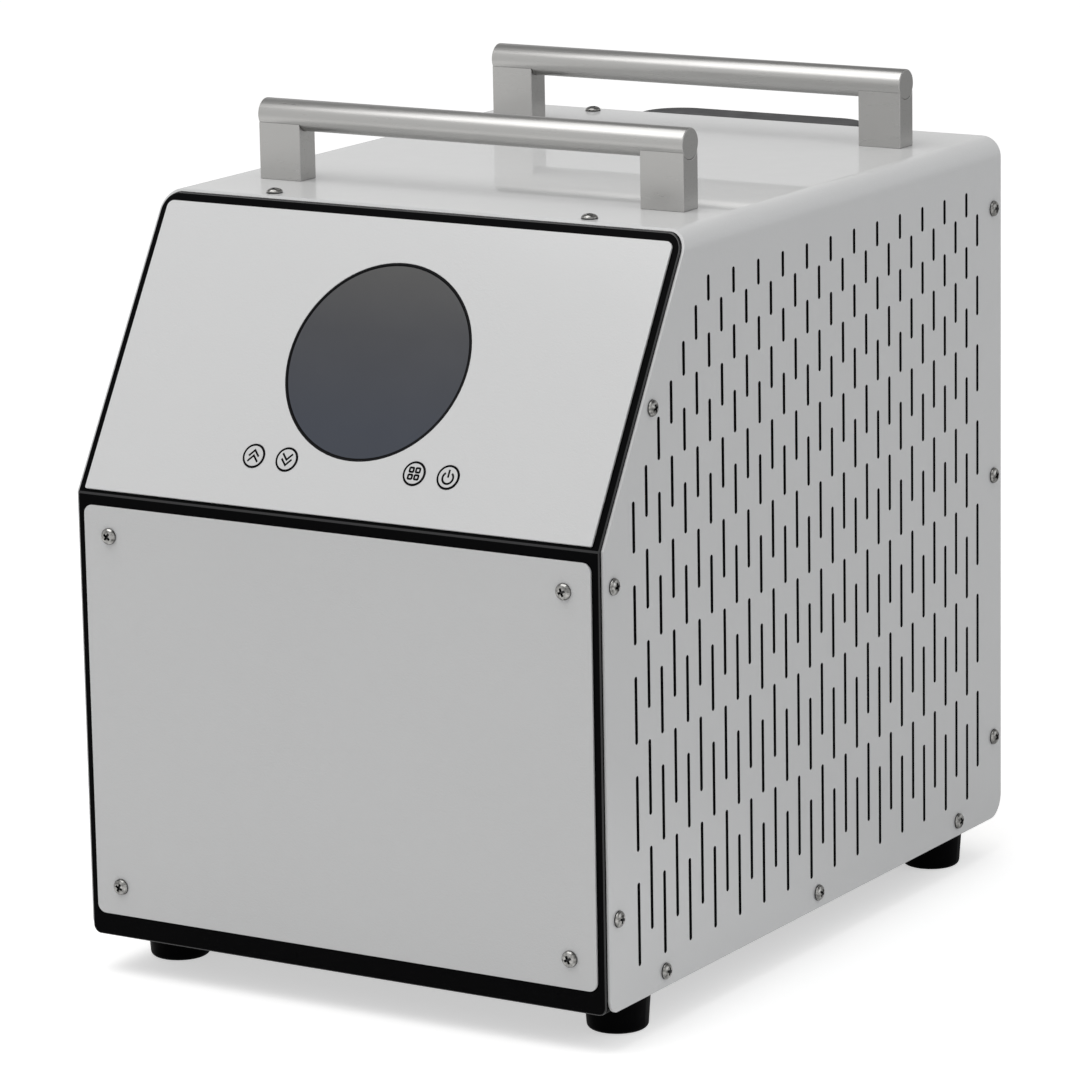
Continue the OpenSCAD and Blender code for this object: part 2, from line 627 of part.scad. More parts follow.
module rear_cowl() color([0.13, 0.13, 0.14]) at_build() difference() {
  union() {
    difference() {
      translate([0, rear_y, cowl_z]) linear_extrude(cowl_h) cowl_plan(0);
      translate([0, rear_y - over, cowl_z + cowl_wall]) linear_extrude(cowl_h - 2 * cowl_wall) cowl_plan(cowl_wall);
      translate([-cowl_w, rear_y - over, z_top - cowl_spigot_in])
        cube([2 * cowl_w, cowl_start + over, cowl_h]);
      for (i = [0 : louvre_n - 1]) translate([-louvre_w / 2, rear_y + cowl_start, cowl_z + (i + 1) * louvre_pitch])
        cube([louvre_w, 2 * cowl_d, louvre_open]);
    }
    for (i = [0 : louvre_n - 1])
      translate([-louvre_w / 2 - over, body_d + cowl_d - cowl_wall, cowl_z + (i + 1) * louvre_pitch + louvre_open])
        rotate([louvre_angle, 0, 0]) translate([0, -louvre_open, -louvre_t]) cube([louvre_w + 2 * over, louvre_open + over, louvre_t]);
    at_cowl_screws() translate([-cowl_ear_w / 2 - over, -cowl_ear_h / 2, 0]) cube([cowl_ear_w + 2 * over, cowl_ear_h, cowl_ear_t]);
  }
  at_cowl_screws() translate([0, 0, cowl_ear_t]) screw_hole(2 * cowl_ear_t);
  at_cowl_screws() translate([0, 0, -cowl_ear_h]) cylinder(d = screw_hole_d, h = cowl_ear_h + over);
}
module cowl_screws() color([0.3, 0.3, 0.31]) at_build() at_cowl_screws() translate([0, 0, cowl_ear_t]) screw(screw_l);

// Fan behind the rear panel, blowing out through the cowl
fan_tip_gap = 3;
fan_bore = fan_d + 2 * fan_tip_gap;
cond_drop = 4;
fan_z = z_top - cond_drop - cond_h / 2;
shroud_d_share = 0.0977;
shroud_d = body_d * shroud_d_share;
shroud_wall = 2;
fan_motor_d = 50;
fan_motor_l_share = 0.0467;
fan_motor_l = body_d * fan_motor_l_share;
fan_arm_w = 10;
fan_arm_t = 4;
fan_arms = 4;
fan_shaft_d = 5;
fan_shaft_l_share = 0.034;
fan_shaft_l = body_d * fan_shaft_l_share;
fan_hub_d = 58;
fan_hub_t_share = 0.0297;
fan_hub_t = body_d * fan_hub_t_share;
fan_hub_gap = 1;
fan_blades = 7;
fan_blade_t = 1.8;
fan_blade_angle = 38;
module at_fan() { translate([0, rear_y, fan_z]) rotate([-90, 0, 0]) children(); }
// Same place with z pointing forwards from the panel's inner face
module at_fan_inside() { translate([0, inner_y, fan_z]) rotate([90, 0, 0]) children(); }
module fan_shroud() color([0.1, 0.1, 0.11]) at_build() difference() {
  shroud_shell();
  at_cowl_screws() screw_hole(screw_l);
}
module shroud_shell() at_fan_inside() {
  difference() {
    translate([-cond_w / 2, -cond_h / 2, seat_gap]) cube([cond_w, cond_h, shroud_d - seat_gap]);
    translate([shroud_wall - cond_w / 2, shroud_wall - cond_h / 2, shroud_wall])
      cube([cond_w - 2 * shroud_wall, cond_h - 2 * shroud_wall, shroud_d]);
    translate([0, 0, -over]) cylinder(d = fan_bore, h = 2 * shroud_wall + over);
  }
  translate([0, 0, seat_gap]) cylinder(d = fan_motor_d, h = fan_arm_t);
  for (i = [0 : fan_arms - 1]) rotate([0, 0, (i + 0.5) * 360 / fan_arms])
    translate([0, -fan_arm_w / 2, seat_gap]) cube([fan_bore / 2 + over, fan_arm_w, fan_arm_t]);
}
fan_motor_z = seat_gap + fan_arm_t;
module fan_motor() color([0.2, 0.2, 0.22]) at_build() at_fan_inside()
  translate([0, 0, fan_motor_z]) difference() {
    cylinder(d = fan_motor_d, h = fan_motor_l);
    translate([0, 0, fan_motor_l - fan_shaft_l - fan_hub_gap])
      cylinder(d = fan_shaft_d + 2 * run_gap, h = fan_shaft_l + fan_hub_gap + over);
  }
module fan_rotor() color([0.15, 0.15, 0.16]) at_build() at_fan_inside()
  translate([0, 0, fan_motor_z + fan_motor_l + fan_hub_gap]) {
    cylinder(d = fan_hub_d, h = fan_hub_t);
    translate([0, 0, -fan_shaft_l]) cylinder(d = fan_shaft_d, h = fan_shaft_l + fan_hub_t);
    intersection() {
      for (i = [0 : fan_blades - 1]) rotate([0, 0, i * 360 / fan_blades])
        translate([fan_hub_d / 4, 0, fan_hub_t / 2]) rotate([fan_blade_angle, 0, 0])
          translate([0, -fan_hub_d / 2, -fan_blade_t / 2]) cube([fan_d / 2, fan_hub_d, fan_blade_t]);
      cylinder(d = fan_d, h = fan_hub_t, $fn = 96);
    }
  }

// Condenser in front of the shroud
cond_t_share = 0.0849;
cond_t = body_d * cond_t_share;
cond_w = body_w * cond_share;
cond_y = inner_y - shroud_d - cond_t;
cond_z = fan_z - cond_h / 2;
fin_n = 22;
fin_t = 1;
fin_margin = 12;
tube_d = 9;
tube_rows = 6;
tube_pitch = (cond_h - 2 * fin_margin) / (tube_rows - 1);
tube_cols = [0.25, 0.75];
module condenser_fins() color([0.7, 0.71, 0.72]) at_build()
  for (i = [0 : fin_n - 1])
    translate([-cond_w / 2 + fin_margin + i * (cond_w - 2 * fin_margin - fin_t) / (fin_n - 1), cond_y, cond_z])
      rotate([90, 0, 90]) linear_extrude(fin_t) difference() {
        square([cond_t, cond_h]);
        for (c = tube_cols, r = [0 : tube_rows - 1])
          translate([c * cond_t, fin_margin + r * tube_pitch]) circle((tube_d + 2 * run_gap) / 2);
      }
bend_end = cond_w / 2 - fin_margin / 2;
bend_d = 8.2;
bend_in = 2;
module condenser_tubes() color([0.72, 0.43, 0.25]) at_build() {
  for (c = tube_cols) tube_column(c);
  translate([bend_in - bend_end, cond_y + cond_t / 2, cond_z + fin_margin]) rotate([0, 0, 90])
    rotate_extrude(angle = 180) translate([cond_t / 4, 0]) circle(bend_d / 2);
}
module tube_column(c) {
  for (r = [0 : tube_rows - 1])
    translate([-bend_end, cond_y + c * cond_t, cond_z + fin_margin + r * tube_pitch])
      rotate([0, 90, 0]) cylinder(d = tube_d, h = 2 * bend_end);
  for (r = [0 : tube_rows - 2])
    translate([(r % 2 == 0 ? 1 : -1) * (bend_end - bend_in), cond_y + c * cond_t, cond_z + fin_margin + (r + 0.5) * tube_pitch])
      rotate([0, 0, r % 2 == 0 ? 0 : 180]) rotate([90, 0, 0]) rotate([0, 0, -90])
        rotate_extrude(angle = 180) translate([tube_pitch / 2, 0]) circle(bend_d / 2);
}

// Compressor on rubber grommets
comp_shares = [-0.2667, 0.6752];
comp_x = body_w * comp_shares[0];
comp_y = body_d * comp_shares[1];
comp_d = plan * comp_share;
comp_dome = 22;
comp_ball = (comp_d * comp_d / 4 + comp_dome * comp_dome) / (2 * comp_dome);
comp_foot_t = 3;
comp_foot_r_share = 0.1765;
comp_foot_r = plan * comp_foot_r_share;
comp_foot_w = 26;
comp_feet = 3;
comp_angle = 30;
grommet_d = 20;
grommet_h = 12;
stub_d = 10;
stub_h = 14;
stub_share = 0.5;
can_d_share = 0.1078;
can_d = plan * can_d_share;
can_h = 110;
can_gap = 3;
can_angle = 250;
comp_z = tray_z + grommet_h;
module at_comp() { translate([comp_x, comp_y, comp_z]) children(); }
module at_comp_bolts() {
  for (i = [0 : comp_feet - 1]) translate([comp_x, comp_y, tray_z]) rotate([0, 0, comp_angle + i * 360 / comp_feet])
    translate([comp_foot_r, 0, 0]) children();
}
module comp_stub(a) { rotate([0, 0, a]) translate([stub_share * comp_d / 2, 0, comp_h - comp_dome / 2]) children(); }
discharge_angle = 60;
suction_angle = 300;
module compressor() color([0.07, 0.07, 0.08]) at_build() {
  at_comp() {
    cylinder(d = comp_d, h = comp_h - comp_dome, $fn = 96);
    intersection() {
      translate([0, 0, comp_h - comp_dome]) cylinder(d = comp_d, h = comp_dome, $fn = 96);
      translate([0, 0, comp_h - comp_ball]) sphere(comp_ball, $fn = 96);
    }
    rotate([0, 0, can_angle]) translate([comp_d / 2 + can_gap + can_d / 2, 0, comp_dome]) {
      cylinder(d = can_d, h = can_h);
      translate([-can_d / 2 - can_gap - comp_dome / 2, -can_d / 4, can_h / 4]) cube([can_d, can_d / 2, can_d / 4]);
    }
    for (i = [0 : comp_feet - 1]) rotate([0, 0, comp_angle + i * 360 / comp_feet]) difference() {
      union() {
        translate([0, -comp_foot_w / 2, 0]) cube([comp_foot_r, comp_foot_w, comp_foot_t]);
        translate([comp_foot_r, 0, 0]) cylinder(d = comp_foot_w, h = comp_foot_t);
      }
      translate([comp_foot_r, 0, -over]) cylinder(d = screw_hole_d, h = comp_foot_t + 2 * over);
    }
    for (a = [discharge_angle, suction_angle]) comp_stub(a) cylinder(d = stub_d, h = comp_dome / 2 + stub_h);
  }
}
cover_w = 46;
cover_h = 60;
cover_t = 26;
module terminal_cover() color([0.1, 0.1, 0.1]) at_build() at_comp() difference() {
  translate([0, -cover_w / 2, comp_h / 2]) cube([comp_d / 2 + cover_t, cover_w, cover_h]);
  cylinder(d = comp_d + 2 * seat_gap, h = comp_h, $fn = 96);
}
module compressor_grommets() color([0.05, 0.05, 0.05]) at_build() at_comp_bolts() ring(grommet_d, screw_hole_d, grommet_h);
module compressor_bolts() color([0.6, 0.6, 0.62]) at_build() at_comp_bolts()
  translate([0, 0, grommet_h + comp_foot_t]) screw(grommet_h + comp_foot_t + 2 * sheet_t);
cap_d_share = 0.098;
cap_d = plan * cap_d_share;
cap_h = 72;
capacitor_x_share = 0.087;
capacitor_x = -body_w * capacitor_x_share;
capacitor_y_share = 0.4459;
capacitor_y = body_d * capacitor_y_share;
module run_capacitor() color([0.8, 0.8, 0.8]) at_build() translate([capacitor_x, capacitor_y, tray_z]) {
  cylinder(d = cap_d, h = cap_h);
  for (x = [-1, 1]) translate([x * cap_d / 4, 0, cap_h]) cylinder(d = screw_d, h = screw_l);
}

// Evaporator tank in its foam jacket, with pipe stubs at the top and a water stub low in front
evap_shares = [0.2783, 0.6497];
evap_x = body_w * evap_shares[0];
evap_y = body_d * evap_shares[1];
evap_d = plan * evap_share;
foam_t = 14;
tank_d = evap_d - 2 * foam_t;
water_d = 18;
water_out_d = 22;
water_low = 40;
evap_ref_share = 0.28;
module at_evap() { translate([evap_x, evap_y, tray_z]) children(); }
module evaporator() color([0.6, 0.62, 0.64]) at_build() at_evap() {
  translate([0, 0, foam_t]) cylinder(d = tank_d, h = evap_h - 2 * foam_t);
  for (x = [-1, 1]) translate([x * evap_ref_share * tank_d, 0, evap_h / 2]) cylinder(d = stub_d, h = evap_h / 2 + stub_h);
  translate([0, -evap_ref_share * tank_d, evap_h / 2]) cylinder(d = water_d, h = evap_h / 2 + stub_h);
  translate([0, 0, water_low]) rotate([90, 0, 0]) cylinder(d = water_d, h = evap_d / 2 + stub_h);
}
module foam_jacket() color([0.12, 0.12, 0.13]) at_build() at_evap() difference() {
  cylinder(d = evap_d, h = evap_h, $fn = 96);
  translate([0, 0, foam_t]) cylinder(d = tank_d + 2 * run_gap, h = evap_h - 2 * foam_t);
  for (x = [-1, 1]) translate([x * evap_ref_share * tank_d, 0, evap_h / 2]) cylinder(d = stub_d + 2 * run_gap, h = evap_h);
  translate([0, -evap_ref_share * tank_d, evap_h / 2]) cylinder(d = water_d + 2 * run_gap, h = evap_h);
  translate([0, 0, water_low]) rotate([90, 0, 0]) cylinder(d = water_d + 2 * run_gap, h = evap_d);
}

// Circulation pump, its axis along x
pump_shares = [0.1739, 0.3185];
pump_x = body_w * pump_shares[0];
pump_y = body_d * pump_shares[1];
pump_axis_h_share = 0.1275;
pump_axis_h = plan * pump_axis_h_share;
pump_d_share = 0.2059;
pump_d = plan * pump_d_share;
pump_w_share = 0.087;
pump_w = body_w * pump_w_share;
pump_wall = 4;
pump_cover_t = 7;
pump_hold_share = 0.2261;
pump_hold = body_w * pump_hold_share;
pump_shaft_d = 8;
pump_motor_d_share = 0.1863;
pump_motor_d = plan * pump_motor_d_share;
pump_motor_l_share = 0.2493;
pump_motor_l = body_w * pump_motor_l_share;
impeller_d_share = 0.152;
impeller_d = plan * impeller_d_share;
impeller_t = 4;
impeller_vanes = 6;
vane_t = 2.5;
vane_h = 12;
impeller_gap = 1;
pump_foot_w = 40;
pump_foot_l = 26;
pump_bolt_x = 7.5;
pump_foot_t = 4;
module at_pump() { translate([pump_x, pump_y, tray_z + pump_axis_h]) children(); }
module at_pump_bolts() {
  at_pump() for (x = [0, pump_hold], y = [-1, 1])
    translate([x + pump_bolt_x, y * pump_foot_w / 3, pump_foot_t - pump_axis_h]) children();
}
module along_x() { rotate([0, 90, 0]) children(); }
module pump_foot(r) {
  translate([-pump_foot_l / 2, -pump_foot_w / 2, -pump_axis_h]) cube([pump_foot_l, pump_foot_w, pump_foot_t]);
  translate([-pump_foot_t / 2, -pump_foot_w / 2, -pump_axis_h]) cube([pump_foot_t, pump_foot_w, pump_axis_h - r / 2]);
}
module pump_foot_holes(x) {
  for (y = [-1, 1]) translate([x + pump_bolt_x, y * pump_foot_w / 3, pump_foot_t - pump_axis_h]) screw_hole(2 * pump_foot_t);
}
module pump_body() color([0.12, 0.12, 0.13]) at_build() at_pump() difference() {
  union() {
    translate([-pump_w / 2, 0, 0]) along_x() cylinder(d = pump_d, h = pump_w);
    cylinder(d = water_out_d, h = pump_d / 2 + stub_h);
    pump_foot(pump_d / 2);
  }
  translate([-pump_w / 2 - over, 0, 0]) along_x() cylinder(d = impeller_d + 2 * pump_wall, h = pump_w - pump_wall + over);
  along_x() cylinder(d = pump_shaft_d + 2 * run_gap, h = pump_w);
  cylinder(d = water_d - pump_wall, h = pump_d);
  pump_foot_holes(0);
}
module pump_cover() color([0.12, 0.12, 0.13]) at_build() at_pump() translate([-pump_w / 2, 0, 0]) rotate([0, -90, 0]) difference() {
  union() {
    cylinder(d = pump_d, h = pump_cover_t);
    cylinder(d = water_out_d, h = pump_cover_t + stub_h);
  }
  translate([0, 0, -over]) cylinder(d = water_d - pump_wall, h = pump_cover_t + stub_h + 2 * over);
}
module pump_impeller() color([0.75, 0.75, 0.7]) at_build() at_pump() {
  translate([pump_w / 2 - pump_wall - impeller_gap - impeller_t, 0, 0]) along_x() {
    cylinder(d = impeller_d, h = impeller_t);
    cylinder(d = pump_shaft_d, h = impeller_t + impeller_gap + pump_wall + pump_motor_l / 2);
    for (i = [0 : impeller_vanes - 1]) rotate([0, 0, i * 360 / impeller_vanes])
      translate([pump_shaft_d, -vane_t / 2, -vane_h]) cube([impeller_d / 2 - pump_shaft_d - vane_t, vane_t, vane_h + over]);
  }
}
module pump_motor() color([0.25, 0.26, 0.28]) at_build() at_pump() difference() {
  union() {
    translate([pump_w / 2, 0, 0]) along_x() cylinder(d = pump_motor_d, h = pump_motor_l);
    translate([pump_hold, 0, 0]) pump_foot(pump_motor_d / 2);
  }
  along_x() cylinder(d = pump_shaft_d + 2 * run_gap, h = pump_w / 2 + pump_motor_l / 2 + 2 * over);
  pump_foot_holes(pump_hold);
}
module pump_bolts() color([0.6, 0.6, 0.62]) at_build() at_pump_bolts() screw(pump_foot_t + sheet_t + nut_h);

// Rear water ports, a threaded pipe with a collar outside and a nut inside
port_x_share = 0.2754;
port_x = body_w * port_x_share;
port_up = 62;
port_z = z_low + port_up;
port_step = 6;
port_neck_d = port_d + port_step;
port_nut_d = 48;
port_collar_d = 44;
port_collar_t = 5;
port_neck_l = 16;
port_nut_t = 6;
port_bore_d = 18;
port_wall = 3;
module at_ports() {
  for (x = [-1, 1]) on_rear() translate([port_x + x * port_gap / 2 - port_gap / 2, port_z, 0]) children();
}
module port(x) color([0.72, 0.6, 0.32]) at_build() on_rear() translate([x, port_z, 0]) difference() {
  union() {
    translate([0, 0, -port_neck_l]) cylinder(d = port_neck_d, h = port_neck_l);
    cylinder(d = port_collar_d, h = port_collar_t);
    cylinder(d = port_d, h = port_l);
    translate([0, 0, -port_neck_l - stub_h]) cylinder(d = water_d, h = stub_h);
  }
  translate([0, 0, port_wall - port_neck_l]) cylinder(d = port_bore_d, h = port_l + port_neck_l);
  translate([0, 0, -port_neck_l - stub_h - over]) cylinder(d = water_d - pump_wall, h = port_l);
}
module water_inlet() port(port_x);
module water_outlet() port(port_x - port_gap);
module port_nuts() color([0.65, 0.53, 0.28]) at_build() at_ports()
  translate([0, 0, -sheet_t - seat_gap - port_nut_t]) nut(port_nut_d, port_neck_d + 2 * seat_gap, port_nut_t);

// Refrigerant lines and the drier
line_d = 8;
line_rise = 12;
drier_d_share = 0.0637;
drier_d = plan * drier_d_share;
drier_h = 62;
drier_x_share = 0.0464;
drier_x = body_w * drier_x_share;
drier_y_share = 0.7473;
drier_y = body_d * drier_y_share;
drier_z = cond_z - 3 * line_rise - stub_h - drier_h;
function comp_stub_at(a) = [comp_x + stub_share * comp_d / 2 * cos(a), comp_y + stub_share * comp_d / 2 * sin(a),
  comp_z + comp_h + stub_h];
evap_top = tray_z + evap_h + stub_h;
cond_tube_z = cond_z + fin_margin + (tube_rows - 1) * tube_pitch;
module copper() { color([0.78, 0.45, 0.27]) at_build() children(); }
discharge = comp_stub_at(discharge_angle);
suction = comp_stub_at(suction_angle);
side_x = -bend_end - line_rise;
liquid_x = -bend_end - tube_pitch / 2 - tube_d / 2 - line_d;
module discharge_line() copper() run([discharge, [discharge[0], discharge[1], cond_z - line_rise],
  [side_x, discharge[1], cond_z - line_rise], [side_x, cond_y + tube_cols[0] * cond_t, cond_tube_z],
  [-bend_end, cond_y + tube_cols[0] * cond_t, cond_tube_z]], line_d);
module suction_line() copper() run([suction, [suction[0], suction[1], evap_top + line_rise],
  [evap_x - evap_ref_share * tank_d, evap_y, evap_top + line_rise], [evap_x - evap_ref_share * tank_d, evap_y, evap_top]], line_d);
module filter_drier() color([0.75, 0.46, 0.28]) at_build() translate([drier_x, drier_y, drier_z]) {
  cylinder(d = drier_d, h = drier_h);
  translate([0, 0, -stub_h]) cylinder(d = stub_d, h = drier_h + 2 * stub_h);
}
module liquid_line() copper() run([[-bend_end, cond_y + tube_cols[1] * cond_t, cond_tube_z],
  [liquid_x, cond_y + tube_cols[1] * cond_t, cond_tube_z], [liquid_x, cond_y + tube_cols[1] * cond_t, cond_z - 2 * line_rise],
  [drier_x, drier_y, cond_z - 2 * line_rise], [drier_x, drier_y, drier_z + drier_h + stub_h]], line_d);
cap_line_d = 3;
cap_low = drier_z - stub_h - line_rise / 2;
cap_x1 = evap_x + evap_ref_share * tank_d;
cap_y1 = evap_y + evap_d / 2 + line_d;
module capillary_line() copper() run([[drier_x, drier_y, drier_z - stub_h], [drier_x, drier_y, cap_low],
  [drier_x + drier_d, cap_y1, cap_low], [cap_x1, cap_y1, cap_low], [cap_x1, cap_y1, evap_top + line_rise],
  [cap_x1, evap_y, evap_top + line_rise], [cap_x1, evap_y, evap_top]], cap_line_d);

// Water hoses, pushed on the stubs
hose_d = 20;
inlet_y = inner_y - port_neck_l - stub_h + sheet_t;
pump_in_x = pump_x - pump_w / 2 - pump_cover_t - stub_h;
pump_out_z = tray_z + pump_axis_h + pump_d / 2 + stub_h;
module rubber() { color([0.09, 0.09, 0.1]) at_build() children(); }
module inlet_hose() rubber() run([[port_x, inlet_y, port_z], [port_x, evap_y + evap_d / 2 + 1.2 * hose_d, port_z],
  [drier_x, evap_y + evap_d / 2 + 1.2 * hose_d, port_z], [drier_x, evap_y - evap_d / 2, port_z],
  [pump_in_x - hose_d, pump_y + pump_d / 2, port_z], [pump_in_x - hose_d, pump_y, tray_z + pump_axis_h],
  [pump_in_x, pump_y, tray_z + pump_axis_h]], hose_d);
hose_clear = 3;
transfer_y = pump_y + pump_motor_d / 2 + hose_d / 2 + hose_clear;
module transfer_hose() rubber() run([[pump_x, pump_y, pump_out_z], [pump_x, pump_y, pump_out_z + hose_d],
  [evap_x, transfer_y, pump_out_z + hose_d], [evap_x, transfer_y, tray_z + water_low],
  [evap_x, evap_y - evap_d / 2 - stub_h, tray_z + water_low]], hose_d);
module outlet_hose() rubber() run([[evap_x, evap_y - evap_ref_share * tank_d, evap_top],
  [evap_x, evap_y - evap_ref_share * tank_d, evap_top + hose_d], [port_x - port_gap, pump_y + pump_d, evap_top + hose_d],
  [port_x - port_gap, pump_y + pump_d, port_z + 2 * hose_d],
  [port_x - port_gap, evap_y, port_z + 2 * hose_d], [port_x - port_gap, inlet_y - hose_d, port_z], [port_x - port_gap, inlet_y, port_z]], hose_d);

// Power supply, mains inlet and rocker switch
supply_x_share = 0.4348;
supply_x = -body_w * supply_x_share;
supply_clear = 3.5;
supply_y = foot_front + nut_d / 2 + supply_clear;
supply_end_share = 0.4353;
supply_w_share = 0.2841;
supply_w = body_w * supply_w_share;
supply_l = body_d * supply_end_share - supply_y;
supply_h = 40;
module power_supply() color([0.66, 0.67, 0.68]) at_build() difference() {
  translate([supply_x, supply_y, tray_z]) cube([supply_w, supply_l, supply_h]);
  for (i = [1 : 8]) translate([supply_x + supply_w / 4, supply_y + i * supply_l / 9, tray_z + supply_h - over])
    cube([supply_w / 2, supply_l / 27, 2 * over]);
}
mains_x_share = 0.3043;
mains_x = -body_w * mains_x_share;
mains_z = port_z;
mains_w = 28;
mains_h = 20;
mains_depth = 22;
mains_rim = 4;
mains_rim_t = 2.5;
mains_wall = 2;
mains_cavity = 16;
mains_pin = [2, 4, 9];
mains_pin_step = 7;
module block(size, z) { translate([-size[0] / 2, -size[1] / 2, z]) cube(size); }
module mains_inlet() color([0.05, 0.05, 0.05]) at_build() on_rear() translate([mains_x, mains_z, 0]) {
  difference() {
    union() {
      block([mains_w, mains_h, mains_depth + mains_rim_t], -mains_depth);
      block([mains_w + 2 * mains_rim, mains_h + 2 * mains_rim, mains_rim_t], 0);
    }
    block([mains_w - 2 * mains_wall, mains_h - 2 * mains_wall, mains_cavity + over], mains_rim_t - mains_cavity);
  }
  for (i = [-1 : 1]) translate([i * mains_pin_step, i == 0 ? mains_pin[1] / 2 : -mains_pin[1] / 2, 0])
    block(mains_pin, mains_rim_t - mains_cavity);
}
switch_x_share = 0.4348;
switch_x = -body_w * switch_x_share;
switch_w = 14;
switch_h = 22;
switch_depth = 16;
switch_wall = 1.2;
rocker_gap = 0.5;
rocker_t = 6;
rocker_pin_d = 2;
rocker_axis = 1;
rocker_rest = 10;
rocker_w = switch_w - 2 * switch_wall - 2 * seat_gap;
rocker_h = switch_h - 2 * switch_wall - 4 * rocker_gap;
module switch_housing() color([0.05, 0.05, 0.05]) at_build() on_rear() translate([switch_x, mains_z, 0]) difference() {
  union() {
    block([switch_w, switch_h, switch_depth + mains_rim_t], -switch_depth);
    block([switch_w + mains_rim, switch_h + mains_rim, mains_rim_t], 0);
  }
  block([switch_w - 2 * switch_wall, switch_h - 2 * switch_wall, switch_depth], rocker_axis - rocker_t);
  translate([-switch_w / 2 - over, 0, rocker_axis]) rotate([0, 90, 0]) cylinder(d = rocker_pin_d + 2 * run_gap, h = switch_w + 2 * over);
}
module rocker_switch() color([0.55, 0.05, 0.05]) at_build() on_rear() translate([switch_x, mains_z, rocker_axis]) {
  rotate([rocker_rest, 0, 0]) block([rocker_w, rocker_h, rocker_t], -rocker_t / 2);
  translate([-switch_w / 2, 0, 0]) rotate([0, 90, 0]) cylinder(d = rocker_pin_d, h = switch_w);
}

base_tray();
front_frame();
hood();
rear_panel();
front_plate();
control_panel();
display_seal();
display_lens();
display_module();
board_bracket();
panel_nuts();
control_board();
key_up();
key_down();
key_menu();
key_power();
front_handle_bar();
front_handle_posts();
rear_handle_bar();
rear_handle_posts();
handle_bolts();
feet();
foot_bolts();
plate_screws();
side_screws();
top_screws();
cowl_screws();
rear_cowl();
fan_shroud();
fan_motor();
fan_rotor();
condenser_fins();
condenser_tubes();
compressor();
terminal_cover();
compressor_grommets();
compressor_bolts();
run_capacitor();
evaporator();
foam_jacket();
filter_drier();
discharge_line();
suction_line();
liquid_line();
capillary_line();
pump_body();
pump_cover();
pump_impeller();
pump_motor();
pump_bolts();
inlet_hose();
transfer_hose();
outlet_hose();
water_inlet();
water_outlet();
port_nuts();
power_supply();
mains_inlet();
switch_housing();
rocker_switch();
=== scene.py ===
import bpy, bmesh, json, math, random
from mathutils import Matrix, Vector

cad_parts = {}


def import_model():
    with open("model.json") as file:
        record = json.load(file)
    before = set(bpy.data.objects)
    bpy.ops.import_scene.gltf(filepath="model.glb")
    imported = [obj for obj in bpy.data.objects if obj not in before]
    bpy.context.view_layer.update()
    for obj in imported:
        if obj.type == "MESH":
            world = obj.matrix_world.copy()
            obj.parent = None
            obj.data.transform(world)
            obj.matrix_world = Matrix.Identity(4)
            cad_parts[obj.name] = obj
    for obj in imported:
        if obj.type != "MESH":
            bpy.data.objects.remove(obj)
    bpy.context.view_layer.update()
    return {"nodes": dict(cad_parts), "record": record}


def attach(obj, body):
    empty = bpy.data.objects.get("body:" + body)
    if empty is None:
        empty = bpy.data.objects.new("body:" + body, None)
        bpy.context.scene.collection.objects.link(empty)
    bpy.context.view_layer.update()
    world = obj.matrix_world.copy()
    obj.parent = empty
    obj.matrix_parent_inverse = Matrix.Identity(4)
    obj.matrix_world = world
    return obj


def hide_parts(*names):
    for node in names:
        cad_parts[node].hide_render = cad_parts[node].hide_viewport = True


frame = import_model()
scene = bpy.context.scene
MM = 0.001

# ---------------------------------------------------------------- lines of the casing, in mm, as in part.scad
MID_Y = 253.35                              # the source's y at the middle of the overall box
Z_LOW, Z_KNEE, Z_TOP = 23.0, 283.5, 442.5   # the front frame's lower edge, knee and top edge
SLANT_RUN = 95.5                            # how far the leaning front falls back
BODY_W, BODY_D, REAR_Y = 345.0, 471.0, 469.0
HOOD_X, HOOD_TOP, BEND_R = 174.1, 444.1, 12.0
STRIP_W = 1.9                               # black strip beside the hood's edge
PLATE_T, PLATE_SIDE, PLATE_LOW, PLATE_HIGH = 1.5, 4.8, 13.5, 6.5
COWL_H, COWL_EAR_T, COWL_SCREW_X = 190.0, 3.0, 82.0
BODY_H = Z_TOP - Z_LOW
SLANT_LEN = 185.48                          # along the leaning front
LEAN = math.atan2(SLANT_RUN, Z_TOP - Z_KNEE)


def at(x, y, z):
    """A point in the source's lines, in millimetres, as metres in the shared frame."""
    return Vector((x * MM, (y - MID_Y) * MM, z * MM))


def place(origin, x_axis, z_axis):
    """Matrix with that origin, x axis and z axis, for things drawn flat in millimetres."""
    z = Vector(z_axis).normalized()
    x = Vector(x_axis).normalized()
    y = z.cross(x)
    m = Matrix((x, y, z)).transposed().to_4x4()
    m.translation = origin
    return m @ Matrix.Scale(MM, 4)


def on_slant(x, t, d):
    """Place on the leaning front: x across, t up the slope, d out of the frame's face."""
    s, c = math.sin(LEAN), math.cos(LEAN)
    return place(at(x, t * s - d * c, Z_KNEE + t * c + d * s), (1, 0, 0), (0, -c, s))


# ---------------------------------------------------------------- node helpers
LOW, HIGH = 0.3, 0.7    # where a noise reaches the ends of its ramp


def nodes_of(name):
    m = bpy.data.materials.new(name)
    m.use_nodes = True
    t = m.node_tree
    b = t.nodes["Principled BSDF"]
    coords = t.nodes.new("ShaderNodeTexCoord").outputs["Object"]
    return m, t, b, coords


